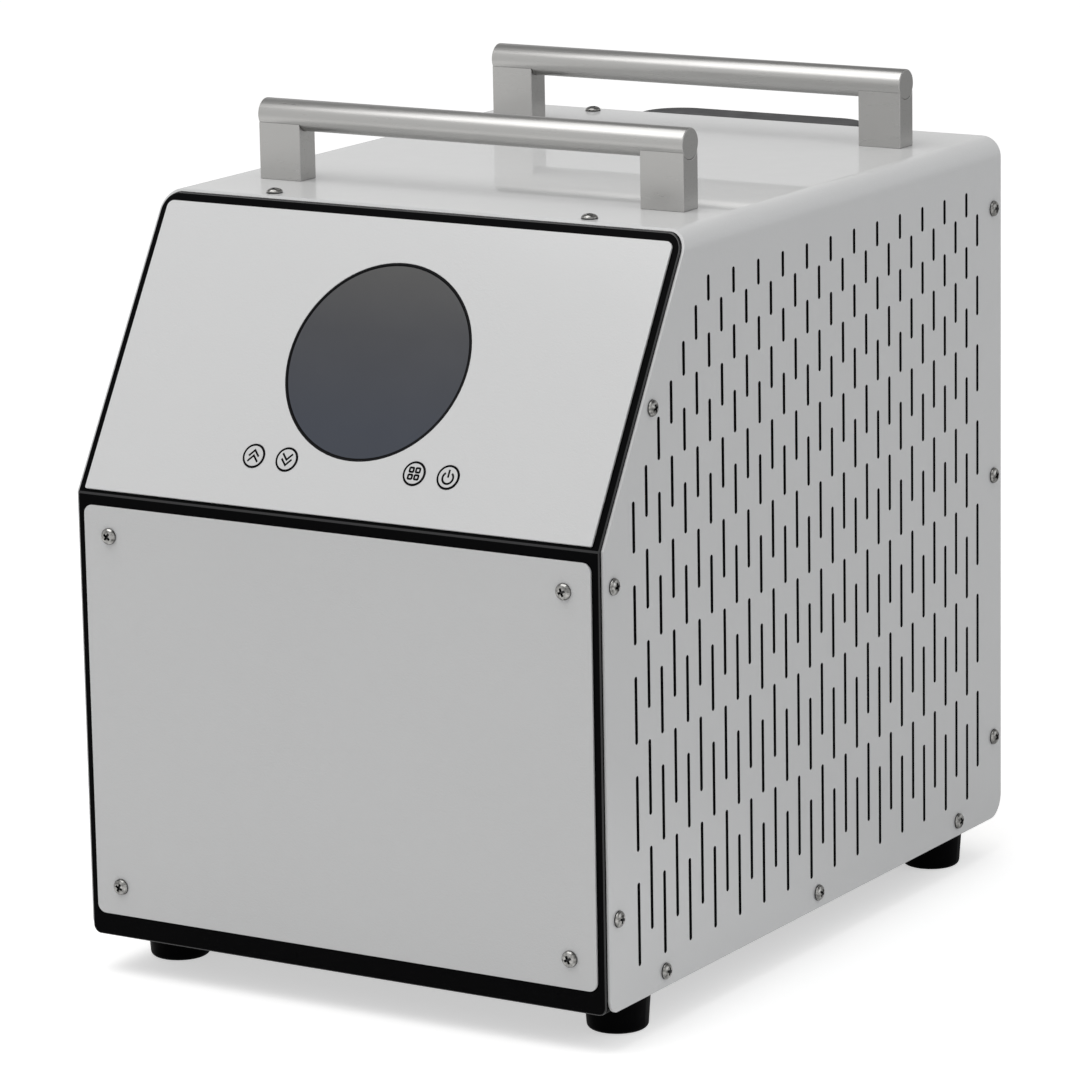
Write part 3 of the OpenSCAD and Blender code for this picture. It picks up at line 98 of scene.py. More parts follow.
def noise(t, coords, scale, detail=2.0, rough=0.5, distort=0.0, stretch=None):
    if stretch:
        mp = t.nodes.new("ShaderNodeMapping")
        mp.inputs["Scale"].default_value = stretch
        t.links.new(coords, mp.inputs["Vector"])
        coords = mp.outputs["Vector"]
    n = t.nodes.new("ShaderNodeTexNoise")
    n.inputs["Scale"].default_value = scale
    n.inputs["Detail"].default_value = detail
    n.inputs["Roughness"].default_value = rough
    n.inputs["Distortion"].default_value = distort
    t.links.new(coords, n.inputs["Vector"])
    return n.outputs["Fac"]


def ramp(t, fac, stops):
    """Colour ramp through (position, grey or colour) stops."""
    r = t.nodes.new("ShaderNodeValToRGB")
    e = r.color_ramp.elements
    while len(e) < len(stops):
        e.new(0.5)
    for i, (p, c) in enumerate(stops):
        e[i].position = p
        e[i].color = (c, c, c, 1) if isinstance(c, float) else (*c, 1)
    t.links.new(fac, r.inputs["Fac"])
    return r.outputs["Color"]


def spread(t, fac, value, down, up):
    """A grey or colour that drifts between value x down and value x up with a noise."""
    if isinstance(value, float):
        return ramp(t, fac, [(LOW, value * down), (HIGH, value * up)])
    return ramp(t, fac, [(LOW, shade(value, down)), (HIGH, shade(value, up))])


def map_range(t, value, low, high):
    """low to high as 0 to 1."""
    r = t.nodes.new("ShaderNodeMapRange")
    r.inputs["From Min"].default_value = low
    r.inputs["From Max"].default_value = high
    t.links.new(value, r.inputs["Value"])
    return r.outputs["Result"]


def split_xyz(t, vector):
    sep = t.nodes.new("ShaderNodeSeparateXYZ")
    t.links.new(vector, sep.inputs["Vector"])
    return sep.outputs


def fill(t, value, socket, plain):
    """Sets a socket to a plain value, or links it."""
    if isinstance(value, plain):
        socket.default_value = value
    else:
        t.links.new(value, socket)


def math_node(t, kind, a, b):
    n = t.nodes.new("ShaderNodeMath")
    n.operation = kind
    fill(t, a, n.inputs[0], float)
    fill(t, b, n.inputs[1], float)
    return n.outputs[0]


def blend(t, factor, a, b, kind="MIX"):
    mix = t.nodes.new("ShaderNodeMix")
    mix.data_type = "RGBA"
    mix.blend_type = kind
    for value, name in ((factor, "Factor"), (a, "A"), (b, "B")):
        fill(t, value, mix.inputs[name], (float, tuple))
    return mix.outputs["Result"]


def add_bump(t, b, height, strength, distance, previous=None):
    n = t.nodes.new("ShaderNodeBump")
    n.inputs["Strength"].default_value = strength
    n.inputs["Distance"].default_value = distance
    t.links.new(height, n.inputs["Height"])
    if previous is not None:
        t.links.new(previous, n.inputs["Normal"])
    t.links.new(n.outputs["Normal"], b.inputs["Normal"])
    return n.outputs["Normal"]


def shade(c, k):
    return tuple(v * k for v in c)


# ---------------------------------------------------------------- materials
def coated(name, color, rough, peel_scale, peel, coat=0.0, vary=0.03, grain=0.0, shine=0.5, haze=0.025):
    """Powder coat or paint: fine orange peel and grain, a slow drift of colour and of roughness."""
    m, t, b, co = nodes_of(name)
    t.links.new(spread(t, noise(t, co, 9.0, 3.0), color, 1 - vary, 1 + vary), b.inputs["Base Color"])
    t.links.new(spread(t, noise(t, co, 60.0, 4.0), rough, 0.9, 1.12), b.inputs["Roughness"])
    b.inputs["Coat Weight"].default_value = coat
    b.inputs["Coat Roughness"].default_value = haze
    b.inputs["Specular IOR Level"].default_value = shine
    n = add_bump(t, b, noise(t, co, peel_scale, 2.0, 0.5, 0.6), peel, 0.0002)
    if grain:
        add_bump(t, b, noise(t, co, 520.0, 1.0, 0.4, 1.5), grain, 0.0002, n)
    return m


def metal(name, color, rough, brush=None, scale=500.0, bump=0.05, vary=0.05):
    """Bare metal: brushed along one axis by a stretched noise, or evenly satin."""
    m, t, b, co = nodes_of(name)
    b.inputs["Metallic"].default_value = 1.0
    f = noise(t, co, scale, 3.0, 0.6, 0.0, brush)
    t.links.new(spread(t, f, color, 1 - vary, 1 + vary), b.inputs["Base Color"])
    t.links.new(spread(t, f, rough, 0.85, 1.15), b.inputs["Roughness"])
    add_bump(t, b, f, bump, 0.00005)
    return m


def plastic(name, color, rough, grain=900.0, bump=0.12, vary=0.08, shine=0.5):
    """Moulded plastic or rubber: fine grain, slow patches of colour and sheen."""
    m, t, b, co = nodes_of(name)
    b.inputs["Specular IOR Level"].default_value = shine
    t.links.new(spread(t, noise(t, co, 25.0, 3.0), color, 1 - vary, 1 + vary), b.inputs["Base Color"])
    t.links.new(spread(t, noise(t, co, 80.0, 3.0), rough, 0.9, 1.1), b.inputs["Roughness"])
    add_bump(t, b, noise(t, co, grain, 2.0), bump, 0.0001)
    return m


def display_glass():
    """Dark display under clear glass, with a painted reflection: bluish at its lower edge, warmer and lighter
    at its upper one.
    """
    m, t, b, co = nodes_of("display_glass")
    lower_z, upper_z = 0.33, 0.42
    rise = map_range(t, split_xyz(t, co)["Z"], lower_z, upper_z)
    # the colour ramp up the glass is a painted reflection
    t.links.new(ramp(t, rise, [(0.0, (0.016, 0.023, 0.041)), (0.55, (0.028, 0.030, 0.038)),
                               (1.0, (0.057, 0.056, 0.054))]), b.inputs["Base Color"])
    t.links.new(ramp(t, noise(t, co, 40.0, 3.0), [(LOW, 0.16), (HIGH, 0.2)]), b.inputs["Roughness"])
    b.inputs["Coat Weight"].default_value = 0.35
    b.inputs["Coat Roughness"].default_value = 0.05
    b.inputs["Specular IOR Level"].default_value = 0.42
    return m


WHITE = (0.662, 0.664, 0.665)
PEEL = 1100.0    # scale of the orange peel of powder coat


def white_paint(name, color, haze, grain):
    return coated(name, color, 0.38, PEEL, 0.05, coat=0.6, vary=0.006, grain=grain, haze=haze)


MATS = {
    "white_coat": white_paint("powder_white", WHITE, 0.025, 0.4),
    "black_coat": coated("powder_black", (0.0020, 0.0020, 0.0023), 0.30, PEEL, 0.08, vary=0.1, shine=0.02),
    "black_plastic": plastic("moulded_black", (0.020, 0.020, 0.022), 0.5, shine=0.35),
    "seal_rubber": plastic("seal_black", (0.006, 0.006, 0.007), 0.5, shine=0.08),
    "foot_rubber": plastic("rubber_foot", (0.0016, 0.0016, 0.0019), 0.45, 700.0, 0.08, shine=0.02),
    "hose_rubber": plastic("rubber_hose", (0.018, 0.018, 0.02), 0.6, 500.0, 0.2),
    "dark_glass": display_glass(),
    "board_green": plastic("solder_mask", (0.02, 0.12, 0.06), 0.35),
    "key_white": coated("key_white", WHITE, 0.34, PEEL, 0.04, coat=0.35, vary=0.006, grain=0.03),
    "brushed_aluminium": metal("brushed_aluminium", (0.42, 0.416, 0.407), 0.31, (0.03, 1.0, 1.0), 1600.0,
                               0.004, 0.006),
    "bright_screws": metal("bright_zinc", (0.27, 0.267, 0.258), 0.10, None, 420.0, 0.0, 0.8),
    "fin_aluminium": metal("plain_aluminium", (0.6, 0.61, 0.62), 0.35, None, 200.0),
    "copper": metal("drawn_copper", (0.72, 0.37, 0.22), 0.28, None, 150.0),
    "black_can": coated("can_black", (0.016, 0.016, 0.018), 0.25, 400.0, 0.08, coat=0.3, vary=0.1),
    "steel_tank": metal("tank_steel", (0.5, 0.51, 0.53), 0.35, None, 200.0),
    "foam": plastic("cell_foam", (0.03, 0.03, 0.034), 0.9, 350.0, 0.8),
    "impeller_plastic": plastic("impeller_cream", (0.6, 0.6, 0.55), 0.45),
    "brass_fitting": metal("turned_brass", (0.66, 0.48, 0.22), 0.28, None, 260.0),
    "rocker_red": plastic("rocker_red", (0.42, 0.012, 0.012), 0.3, 600.0, 0.05),
}
# the same white coat, painted lighter on the leaning control panel and darker on the upright front plate:
# painted light and shade
PANEL_LIT_WHITE = white_paint("panel_coat_painted_light", shade(WHITE, 1.015), 0.12, 0.3)
PLATE_SHADED_WHITE = white_paint("plate_coat_painted_shade", shade(WHITE, 0.985), 0.12, 0.7)
# a lighter, glossier copy of the black coat for the front frame's bevelled folds: painted highlight
FOLD_HIGHLIGHT = coated("black_fold_highlight", (0.008, 0.008, 0.009), 0.18, PEEL, 0.02, coat=0.3, vary=0.1, shine=0.3)
INK = plastic("icon_ink", (0.002, 0.002, 0.0025), 0.5, 900.0, 0.01, shine=0.04)
# near black for the hood's inside and slot walls: painted shade
HOOD_SHADE = plastic("hood_painted_shade", (0.006, 0.006, 0.007), 0.7, 600.0, 0.05, shine=0.1)
# dark metal for the screws' recess walls and the foot of their heads: painted shade
SCREW_SHADE = metal("screw_painted_shade", (0.035, 0.035, 0.036), 0.3, None, 300.0, 0.02, 0.2)

# the lit and shaded copies of the white coat
lit_and_shaded_white = {"control_panel": PANEL_LIT_WHITE, "front_plate": PLATE_SHADED_WHITE}
slots = {s["node"]: s["material_slot"] for s in frame["record"]["subparts"]}
for node, obj in frame["nodes"].items():
    obj.data.materials.clear()
    obj.data.materials.append(lit_and_shaded_white.get(node, MATS[slots[node]]))


# ---------------------------------------------------------------- mesh helpers
def make(name, verts, faces, mat, slot=None, body="cabinet", smooth=True, angle=35, marks=None, mark_mat=None):
    """A piece that rides on a body. marks gives 1 for each face that has mark_mat instead of mat."""
    me = bpy.data.meshes.new(name)
    me.from_pydata([tuple(v) for v in verts], [], faces)
    if marks:
        me.polygons.foreach_set("material_index", marks)
    me.validate()
    o = bpy.data.objects.new(name, me)
    scene.collection.objects.link(o)
    me.materials.append(mat)
    if marks:
        me.materials.append(mark_mat)
    bm = bmesh.new()
    bm.from_mesh(me)
    bmesh.ops.remove_doubles(bm, verts=bm.verts, dist=1e-7)
    bmesh.ops.recalc_face_normals(bm, faces=bm.faces)
    for e in bm.edges:
        if len(e.link_faces) == 2 and e.calc_face_angle(0) > math.radians(angle):
            e.smooth = False
    for f in bm.faces:
        f.smooth = smooth
    bm.to_mesh(me)
    bm.free()
    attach(o, body)
    return o


def mesh_object(mesh):
    """A work piece for a modifier, deleted again by what uses it."""
    me = bpy.data.meshes.new("work")
    me.from_pydata([tuple(v) for v in mesh[0]], [], mesh[1])
    o = bpy.data.objects.new("work", me)
    scene.collection.objects.link(o)
    bpy.context.view_layer.update()
    return o


def on_circle(r, k, n, z):
    a = 2 * math.pi * k / n
    return r * math.cos(a), r * math.sin(a), z


def lathe(profile, segments):
    """Closed profile of (radius, z) turned round z; radius 0 only at the ends."""
    verts, rings, faces = [], [], []
    for r, z in profile:
        ring = [(0.0, 0.0, z)] if r == 0 else [on_circle(r, k, segments, z) for k in range(segments)]
        rings.append([len(verts) + i for i in range(len(ring))])
        verts.extend(ring)
    for a, b in zip(rings, rings[1:]):
        for k in range(segments):
            n = (k + 1) % segments
            quad = list(dict.fromkeys([a[k % len(a)], a[n % len(a)], b[n % len(b)], b[k % len(b)]]))
            if len(quad) > 2:
                faces.append(quad)
    return verts, faces


def hoop(profile, segments):
    """Closed ring with that cross-section of (radius, z)."""
    n = len(profile)
    verts = [on_circle(r, k, segments, z) for k in range(segments) for r, z in profile]
    faces = []
    for k in range(segments):
        here, there = k * n, (k + 1) % segments * n
        for i in range(n):
            j = (i + 1) % n
            faces.append([here + i, here + j, there + j, there + i])
    return verts, faces


def joined(parts):
    """(verts, faces) pairs as one pair."""
    verts, faces = [], []
    for v, f in parts:
        faces.extend([[i + len(verts) for i in q] for q in f])
        verts.extend(v)
    return verts, faces


def moved(mesh, matrix):
    return [matrix @ Vector(v) for v in mesh[0]], mesh[1]


# ---------------------------------------------------------------- screws with a cross recess
HEAD_R, HEAD_H = 4.8, 2.8
SHANK_D, SHANK_L = 4.0, 7.0
RECESS_TOP, RECESS_LOW, RECESS_W = 2.75, 1.7, 0.78    # half lengths at its top and floor, half width
RECESS_DEEP, RECESS_OVER = 1.5, 0.4
EDGE_H = 0.25                                         # upright edge below the dome
DOME_OUT, DOME_UP, DOME_STEPS = 0.75, 0.9, 10         # powers that shape the dome, rings in it


def pan_head():
    """A pan head screw in millimetres: its head stands on z = 0, with a tapered cross recess."""
    r, shank = HEAD_R, SHANK_D / 2
    profile = [(0.0, -SHANK_L), (shank - 0.4, -SHANK_L), (shank, -SHANK_L + 0.5), (shank, 0.0),
               (r - EDGE_H, 0.0), (r, EDGE_H)]
    for k in range(1, DOME_STEPS + 1):
        a = k / DOME_STEPS * math.pi / 2
        wide = r * math.cos(a) ** DOME_OUT if k < DOME_STEPS else 0.0
        profile.append((wide, EDGE_H + (HEAD_H - EDGE_H) * math.sin(a) ** DOME_UP))
    head = mesh_object(lathe(profile, 32))
    bars = []
    for turn in (0.0, math.pi / 2):
        box = []
        for z, l, w in ((HEAD_H - RECESS_DEEP, RECESS_LOW, RECESS_W * 0.7),
                        (HEAD_H + RECESS_OVER, RECESS_TOP, RECESS_W)):
            box += [(-l, -w, z), (l, -w, z), (l, w, z), (-l, w, z)]
        quads = [[3, 2, 1, 0], [4, 5, 6, 7], [0, 1, 5, 4], [1, 2, 6, 5], [2, 3, 7, 6], [3, 0, 4, 7]]
        bars.append(mesh_object(moved((box, quads), Matrix.Rotation(turn, 4, "Z"))))
    for bar in bars:
        mod = head.modifiers.new("recess", "BOOLEAN")
        mod.operation = "DIFFERENCE"
        mod.solver = "EXACT"
        mod.object = bar
    got = head.evaluated_get(bpy.context.evaluated_depsgraph_get()).to_mesh()
    mesh = [tuple(v.co) for v in got.vertices], [list(p.vertices) for p in got.polygons]
    for o in [head] + bars:
        bpy.data.objects.remove(o)
    return mesh


def painted_shade_face(corners):
    """1 for the walls of the cross recess and the thin edge where the head meets the sheet, which get painted
    shade.
    """
    c = sum(corners, Vector()) / len(corners)
    wide = math.hypot(c.x, c.y)
    dome = EDGE_H + (HEAD_H - EDGE_H) * (1 - min(1.0, wide / HEAD_R) ** (2 / DOME_OUT)) ** (DOME_UP / 2)
    in_recess = wide < 3.0 and HEAD_H - 1.7 < c.z < dome - 0.1
    under_head_shade = wide > HEAD_R - 0.45 and 0 < c.z < 0.8
    return int(in_recess or under_head_shade)


turns = random.Random(7)


def screws(name, node, places):
    """One piece of pan head screws at those places, each turned as it happened to stop."""
    template = pan_head()
    # the marked faces take the painted shade in the recess and round the head's foot
    marks = [painted_shade_face([Vector(template[0][i]) for i in q]) for q in template[1]] * len(places)
    parts = [moved(template, m @ Matrix.Rotation(turns.uniform(0, math.pi), 4, "Z")) for m in places]
    o = make(name, *joined(parts), MATS["bright_screws"], "bright_screws", angle=40, marks=marks,
             mark_mat=SCREW_SHADE)
    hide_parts(node)


SCREW_IN = 10.0                                   # from the hood's edges
TOP_SCREW_X, PLATE_SCREW_IN = 105.0, 17.0
FRONT_SCREW_LOW, FRONT_SCREW_TOP = 53.0, 21.0     # above the lower edge, below the knee
SLANT_SCREW_T = 81.0                              # up the leaning front
LOW_SCREW_SHARES = (0.1316, 0.5053, 0.879)        # of the depth
REAR_SCREW_SHARES = (0.124, 0.5137, 0.9035)       # of the height

hood_front = STRIP_W + SCREW_IN
side_points = [(hood_front, z) for z in (Z_LOW + FRONT_SCREW_LOW, Z_KNEE - FRONT_SCREW_TOP)]
side_points.append((math.sin(LEAN) * SLANT_SCREW_T + STRIP_W + SCREW_IN / math.cos(LEAN),
                    Z_KNEE + math.cos(LEAN) * SLANT_SCREW_T))
side_points += [(BODY_D * s, Z_LOW + SCREW_IN) for s in LOW_SCREW_SHARES]
side_points += [(BODY_D - SCREW_IN, Z_LOW + BODY_H * s) for s in REAR_SCREW_SHARES]
screws("side_screw_set", "side_screws",
       [place(at(side * HOOD_X, y, z), (0, side, 0), (side, 0, 0)) for side in (-1, 1) for y, z in side_points])
screws("top_screw_set", "top_screws",
       [place(at(x, y, HOOD_TOP), (1, 0, 0), (0, 0, 1)) for x in (-TOP_SCREW_X, TOP_SCREW_X)
        for y in (SLANT_RUN + hood_front, BODY_D - SCREW_IN)])
plate_x = BODY_W / 2 - PLATE_SIDE - PLATE_SCREW_IN
screws("plate_screw_set", "plate_screws",
       [place(at(x, -PLATE_T, z), (1, 0, 0), (0, -1, 0)) for x in (-plate_x, plate_x)
        for z in (Z_LOW + PLATE_LOW + PLATE_SCREW_IN, Z_KNEE - PLATE_HIGH - PLATE_SCREW_IN)])
screws("cowl_screw_set", "cowl_screws",
       [place(at(x, REAR_Y + COWL_EAR_T, HOOD_TOP - COWL_H * (1 - s)), (-1, 0, 0), (0, 1, 0))
        for x in (-COWL_SCREW_X, COWL_SCREW_X) for s in (0.25, 0.75)])


# ---------------------------------------------------------------- water pipes with their threads
PIPE_R, NECK_R, COLLAR_R, BORE_R = 13.2, 16.2, 22.0, 9.0
PIPE_L, NECK_L, COLLAR_T = 42.0, 16.0, 5.0
STUB_R, STUB_BORE_R, STUB_L = 9.0, 7.0, 14.0
PITCH, THREAD_DEEP, ROOT_R = 1.814, 1.16, 11.9
PORT_X, PORT_UP, PORT_GAP = BODY_W * 0.2754, 62.0, 92.0
AROUND, PITCH_STEPS = 56, 5


def thread_radius(z, k, first, last):
    """Radius of the helical thread at height z and corner k, running out at both ends."""
    tooth = abs(2 * ((z / PITCH - k / AROUND) % 1.0) - 1)
    ends = max(0.0, min(1.0, (z - first) / PITCH, (last - z) / PITCH))
    return PIPE_R - THREAD_DEEP + THREAD_DEEP * min(1.0, max(0.0, 1.25 * tooth - 0.12)) * ends


def water_pipe(name, node, x):
    """The pipe turned from bar: stub, neck, collar, a cut three quarter inch thread and its bore."""
    first, last = COLLAR_T + 2.2, PIPE_L - 1.4
    count = int((last - first) / PITCH * PITCH_STEPS)
    rows = [(STUB_BORE_R, -NECK_L - STUB_L), (STUB_R - 0.4, -NECK_L - STUB_L),
            (STUB_R, -NECK_L - STUB_L + 0.4), (STUB_R, -NECK_L), (NECK_R, -NECK_L), (NECK_R, -0.6),
            (COLLAR_R - 0.6, 0.0), (COLLAR_R, 0.6), (COLLAR_R, COLLAR_T - 0.8), (COLLAR_R - 0.8, COLLAR_T),
            (ROOT_R, COLLAR_T), (ROOT_R, COLLAR_T + 1.6)]
    rows += [(None, first + (last - first) * i / count) for i in range(count + 1)]
    rows += [(ROOT_R, PIPE_L - 0.7), (PIPE_R - 1.6, PIPE_L), (BORE_R + 0.6, PIPE_L),
             (BORE_R, PIPE_L - 0.6), (BORE_R, 3.0 - NECK_L), (STUB_BORE_R, 3.0 - NECK_L)]
    verts = [on_circle(thread_radius(z, k, first, last) if r is None else r, k, AROUND, z)
             for r, z in rows for k in range(AROUND)]
    faces = []
    for i in range(len(rows)):
        here, there = i * AROUND, (i + 1) % len(rows) * AROUND
        for k in range(AROUND):
            n = (k + 1) % AROUND
            faces.append([here + k, here + n, there + n, there + k])
    spot = place(at(x, REAR_Y, Z_LOW + PORT_UP), (1, 0, 0), (0, 1, 0))
    pipe = make(name, *moved((verts, faces), spot), MATS["brass_fitting"], "brass_fitting", angle=25)
    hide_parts(node)


water_pipe("inlet_pipe", "water_inlet", PORT_X)
water_pipe("outlet_pipe", "water_outlet", PORT_X - PORT_GAP)


# ---------------------------------------------------------------- key icons
def stroke(points, width, closed=False, height=0.05):
    """A flat ribbon of that width along points, with mitred corners, as a thin solid."""
    pts = [Vector((*p, 0)) for p in points]
    n = len(pts)
    left, right = [], []
    for i, p in enumerate(pts):
        a = pts[i - 1] if i or closed else None
        b = pts[(i + 1) % n] if i + 1 < n or closed else None
        d1 = (p - a).normalized() if a is not None else (b - p).normalized()
        d2 = (b - p).normalized() if b is not None else d1
        n1 = Vector((-d1.y, d1.x, 0))
        m = (n1 + Vector((-d2.y, d2.x, 0))).normalized()
        k = width / 2 / max(0.3, m.dot(n1))
        left.append(p + m * k)
        right.append(p - m * k)
    verts, faces = [], []
    for z in (0.0, height):
        verts += [(v.x, v.y, z) for v in left] + [(v.x, v.y, z) for v in right]
    for i in range(n if closed else n - 1):
        j = (i + 1) % n
        faces += [[2 * n + i, 2 * n + j, 3 * n + j, 3 * n + i], [i, n + i, n + j, j],
                  [i, j, 2 * n + j, 2 * n + i], [n + i, 3 * n + i, 3 * n + j, n + j]]
    if not closed:
        faces += [[0, 2 * n, 3 * n, n], [n - 1, 2 * n - 1, 4 * n - 1, 3 * n - 1]]
    return verts, faces


def arc(r, a, b, n):
    """Points round the origin, from angle a to b in degrees, clockwise from straight up."""
    turn = [math.radians(a + (b - a) * i / n) for i in range(n + 1)]
    return [(r * math.sin(v), r * math.cos(v)) for v in turn]


def shifted(points, x, y):
    return [(a + x, b + y) for a, b in points]


def soft_square(half, r):
    """Square outline with rounded corners."""
    c = half - r
    corners = ((c, c, 0), (c, -c, 90), (-c, -c, 180), (-c, c, 270))
    return [p for x, y, a in corners for p in shifted(arc(r, a, a + 90, 4), x, y)]


def chevron(y, up):
    """An arrow head with its tip at height y, pointing up or down."""
    half, rise = 3.3, 3.6 * up
    return stroke([(-half, y - rise), (0, y), (half, y - rise)], LINE)


LINE = 1.15                                       # width of the icons' lines
KEY_T = SLANT_LEN * 0.1734                        # height of the keys up the slope
KEY_SIDE, KEY_NEAR, KEY_FAR = (BODY_W * share for share in (0.0096, 0.1223, 0.1864))
CAP_TOP, KEY_R, HOLE_R = 1.7, 6.6, 7.2
SQUARE_AT = 2.05
icons = {
    "key_up": [chevron(y, 1) for y in (3.4, 0.2)],
    "key_down": [chevron(y, -1) for y in (-3.4, -0.2)],
    "key_menu": [stroke(shifted(soft_square(1.25, 0.45), x, y), LINE, True)
                 for x in (-SQUARE_AT, SQUARE_AT) for y in (-SQUARE_AT, SQUARE_AT)],
    "key_power": [stroke(shifted(arc(3.4, 36, 324, 44), 0, -0.45), LINE * 1.05),
                  stroke([(0, -0.2), (0, 4.4)], LINE)],
}
bodies = frame["record"]["behaviour"]["bodies"]
key_body = {node: body for body, held in bodies.items() for node in held if node.startswith("key_")}
rim = [(KEY_R - 0.62, -0.5), (HOLE_R - 0.04, -0.5), (HOLE_R - 0.04, 0.0), (HOLE_R - 0.12, 0.06),
       (KEY_R - 0.54, 0.07), (KEY_R - 0.62, 0.04)]
for node, x in (("key_up", -KEY_FAR), ("key_down", -KEY_NEAR), ("key_menu", KEY_NEAR), ("key_power", KEY_FAR)):
    top = on_slant(KEY_SIDE + x, KEY_T, CAP_TOP)
    make("icon_" + node[4:], *moved(joined(icons[node]), top), INK, body=key_body[node], smooth=False)
    make("rim_" + node[4:], *moved(hoop(rim, 72), top), INK, body=key_body[node])


# ---------------------------------------------------------------- black edge of the display
DISPLAY_SHARE, DISPLAY_UP, DISPLAY_SIDE = 0.6383, 0.5092, 0.0065
SEAT_R = SLANT_LEN * DISPLAY_SHARE / 2
edge = [(SEAT_R - 1.9, -0.34), (SEAT_R - 0.06, -0.34), (SEAT_R - 0.06, -0.06), (SEAT_R - 0.2, 0.0),
        (SEAT_R - 1.75, -0.2)]
display_at = on_slant(BODY_W * DISPLAY_SIDE, SLANT_LEN * DISPLAY_UP, PLATE_T)
make("display_edge", *moved(hoop(edge, 180), display_at), INK)


# ---------------------------------------------------------------- painted shade inside the hood and on its slot walls
EDGE_BAND = 4.5    # the white coat reaches this far round the hood's cut edges


def hood_paint(c, n):
    """True where the hood carries the white coat: its outside and its cut edges. Its inside and its slot walls
    get a dark painted shade instead.
    """
    x, y, z = abs(c.x), c.y + MID_Y, c.z
    out = n.x if c.x > 0 else -n.x
    dx, dz = x - (HOOD_X - BEND_R), z - (HOOD_TOP - BEND_R)
    if dx > 0 and dz > 0:
        return (out * dx + n.z * dz) / math.hypot(dx, dz) > -0.5
    if out > 0.5 or n.z > 0.5 and z > HOOD_TOP - 0.1:
        return True
    if out < -0.5 or n.z < -0.5 and z > HOOD_TOP - 3:
        return False
    front = (y - STRIP_W - max(0.0, math.tan(LEAN) * (z - Z_KNEE))) * math.cos(LEAN)
    return min(front, BODY_D - y, z - Z_LOW - 0.5) < EDGE_BAND


def paint(node, keep, dark):
    """Gives the faces that keep turns down a second material."""
    o = frame["nodes"][node]
    o.data.materials.append(dark)
    turn = o.matrix_world.to_3x3()
    for p in o.data.polygons:
        if not keep(o.matrix_world @ p.center / MM, (turn @ p.normal).normalized()):
            p.material_index = 1


# the hood's inside and slot walls take the painted shade
paint("hood", hood_paint, HOOD_SHADE)


# ---------------------------------------------------------------- softened edges on the CAD's own meshes
SAME_POINT = 1e-6                        # corners of neighbouring CAD faces closer than this are one
FLAT, CRISP = (math.radians(v) for v in (0.5, 40))    # faces that are one plane, edges that stay sharp


def soften(node, width, angle=30):
    """Joins the CAD faces of a node, rounds its sharp edges and keeps what is still sharp sharp."""
    o = frame["nodes"][node]
    o.modifiers.new("join", "WELD").merge_threshold = SAME_POINT
    flat = o.modifiers.new("flat", "DECIMATE")
    flat.decimate_type = "DISSOLVE"
    flat.angle_limit = FLAT
    mod = o.modifiers.new("edge", "BEVEL")
    mod.width = width * MM
    mod.segments = 3
    mod.limit_method = "ANGLE"
    mod.angle_limit = math.radians(angle)
    mod.harden_normals = False
    mod.use_clamp_overlap = False
    split = o.modifiers.new("crisp", "EDGE_SPLIT")
    split.split_angle = CRISP
    split.use_edge_sharp = False
    return mod


for node, width in (("front_handle_bar", 0.6), ("rear_handle_bar", 0.6), ("front_handle_posts", 0.35),
                    ("rear_handle_posts", 0.35), ("front_plate", 0.3), ("control_panel", 0.25)):
    soften(node, width)
# the bevelled folds of the front frame take the painted highlight
frame["nodes"]["front_frame"].data.materials.append(FOLD_HIGHLIGHT)
soften("front_frame", 0.7, 25).material = 1


# ---------------------------------------------------------------- floor, world, lights, camera
FLOOR_HALF, FLOOR_GLOW = 12, 0.55


def floor():
    """A plain white floor. Its own glow is seen by the camera, by metal and by glass, and lights nothing."""
    bm = bmesh.new()
    bmesh.ops.create_grid(bm, x_segments=1, y_segments=1, size=FLOOR_HALF)
    me = bpy.data.meshes.new("floor")
    bm.to_mesh(me)
    bm.free()
    o = bpy.data.objects.new("floor", me)
    scene.collection.objects.link(o)
    m, t, b, co = nodes_of("floor_white")
    b.inputs["Roughness"].default_value = 0.9
    b.inputs["Specular IOR Level"].default_value = 0.0
    path = t.nodes.new("ShaderNodeLightPath").outputs
    far = map_range(t, split_xyz(t, co)["Y"], -0.6, 0.8)
    mirror = ramp(t, far, [(0.0, 0.8), (0.45, 0.72), (0.62, 0.38), (1.0, 0.34)])    # darker behind the object
    glossy = path["Is Glossy Ray"]
    t.links.new(blend(t, glossy, (0.8, 0.8, 0.8, 1.0), mirror), b.inputs["Base Color"])
    t.links.new(blend(t, glossy, (1.0, 1.0, 1.0, 1.0), mirror), b.inputs["Emission Color"])
    seen = math_node(t, "MAXIMUM", path["Is Camera Ray"], path["Is Transmission Ray"])
    seen = math_node(t, "MAXIMUM", seen, glossy)
    t.links.new(math_node(t, "MULTIPLY", seen, FLOOR_GLOW), b.inputs["Emission Strength"])
    me.materials.append(m)


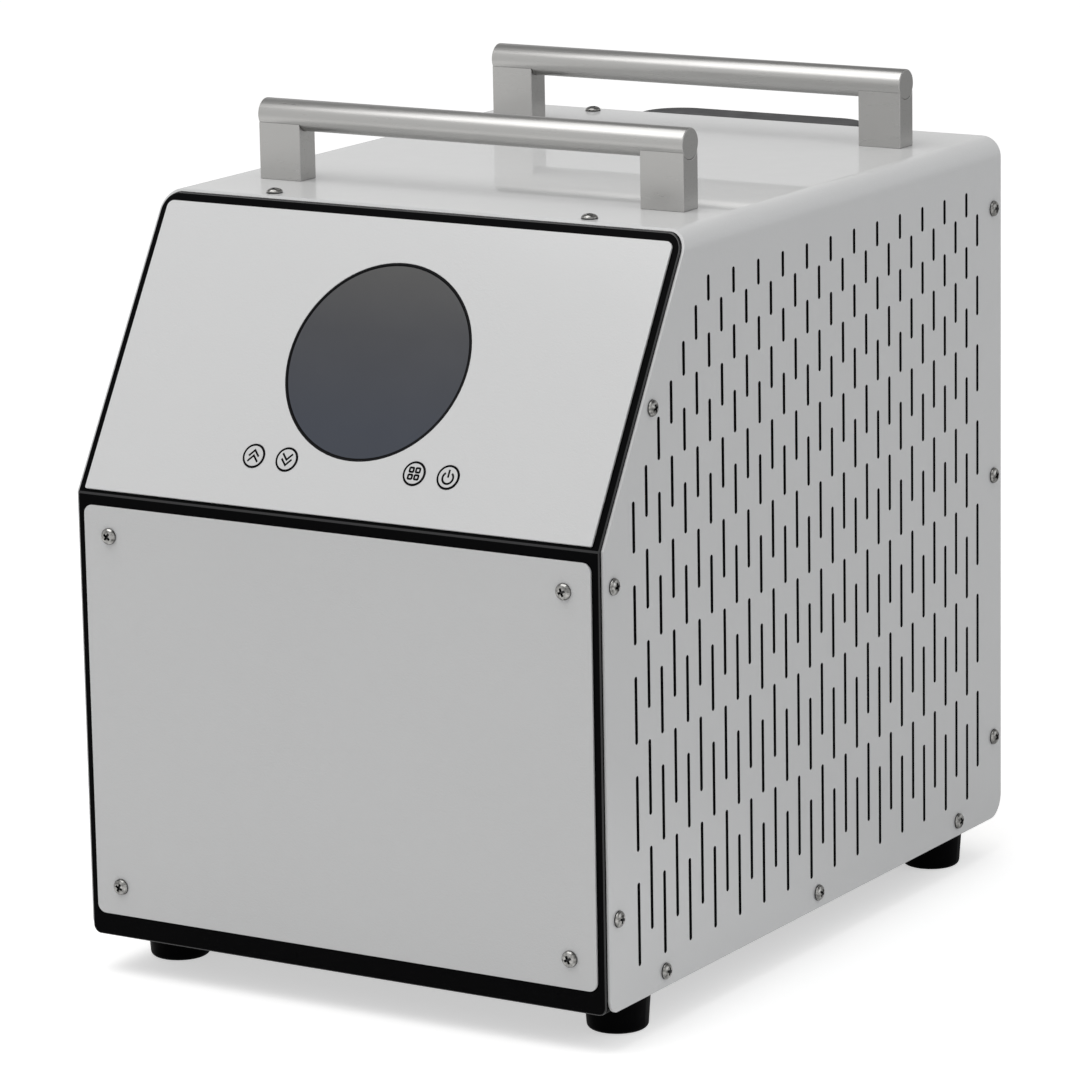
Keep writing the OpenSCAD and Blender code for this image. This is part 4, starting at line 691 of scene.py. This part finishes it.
def world():
    """A soft studio: a pale sky, a little darker in front, white for the camera and through glass."""
    w = bpy.data.worlds.new("studio")
    scene.world = w
    w.use_nodes = True
    t = w.node_tree
    way = split_xyz(t, t.nodes.new("ShaderNodeTexCoord").outputs["Generated"])
    across, along = (map_range(t, way[axis], -1.0, 1.0) for axis in "XY")
    sky = ramp(t, way["Z"], [(0.0, (0.50, 0.51, 0.53)), (0.35, (0.52, 0.525, 0.54)),
                             (0.75, (0.86, 0.855, 0.84)), (1.0, (0.80, 0.80, 0.79))])
    shade_y = ramp(t, along, [(0.0, (0.625, 0.625, 0.625)), (1.0, (0.96, 0.96, 0.96))])
    shade_x = ramp(t, across, [(0.0, (0.98, 0.975, 0.965)), (1.0, (0.985, 0.992, 1.0))])
    high = ramp(t, along, [(0.0, 1.0), (0.3, 1.0), (0.5, 0.42), (1.0, 0.26)])    # what gloss mirrors overhead
    low = ramp(t, along, [(0.0, 1.0), (0.6, 0.85), (1.0, 0.60)])                 # and near the horizon
    mirror = blend(t, ramp(t, way["Z"], [(0.30, 0.0), (0.6, 1.0)]), low, high)
    path = t.nodes.new("ShaderNodeLightPath").outputs
    color = blend(t, 1.0, sky, shade_y, "MULTIPLY")
    color = blend(t, 1.0, color, shade_x, "MULTIPLY")
    color = blend(t, path["Is Glossy Ray"], color, mirror)
    plain = math_node(t, "MAXIMUM", path["Is Camera Ray"], path["Is Transmission Ray"])
    color = blend(t, plain, color, (1.0, 1.0, 1.0, 1.0))
    t.links.new(color, t.nodes["Background"].inputs["Color"])


def soft_light(name, position, target, size, power, color=(1, 1, 1)):
    """A square area light that looks at a point."""
    d = bpy.data.lights.new(name, "AREA")
    d.shape = "RECTANGLE"
    d.size = d.size_y = size
    d.energy = power
    d.color = color
    o = bpy.data.objects.new(name, d)
    o.location = position
    o.rotation_mode = "QUATERNION"
    o.rotation_quaternion = (Vector(target) - Vector(position)).to_track_quat("-Z", "Y")
    scene.collection.objects.link(o)


def camera():
    """The camera that was fitted to the photograph."""
    az, el, roll = (math.radians(v) for v in (31.73, 12.632, -1.046))
    back = Vector((math.sin(az) * math.cos(el), -math.cos(az) * math.cos(el), math.sin(el)))
    right = Vector((math.cos(az), math.sin(az), 0))
    up = back.cross(right)
    x = right * math.cos(roll) + up * math.sin(roll)
    y = up * math.cos(roll) - right * math.sin(roll)
    d = bpy.data.cameras.new("photo_view")
    d.lens = 188.77
    d.sensor_width = 36.0
    d.clip_end = 50
    o = bpy.data.objects.new("photo_view", d)
    o.rotation_mode = "QUATERNION"
    o.rotation_quaternion = Matrix((x, y, back)).transposed().to_quaternion()
    o.location = (1.7048, -2.7914, 0.9555)
    scene.collection.objects.link(o)
    scene.camera = o


floor()
world()
soft_light("top_soft", (-0.4, -0.7, 2.3), (0, 0, 0.3), 2.0, 24.3)
soft_light("side_soft", (2.6, 1.25, 1.0), (0, 0.05, 0.3), 2.0, 6.9, (0.955, 0.975, 1.0))
camera()
scene.view_settings.view_transform = "Standard"
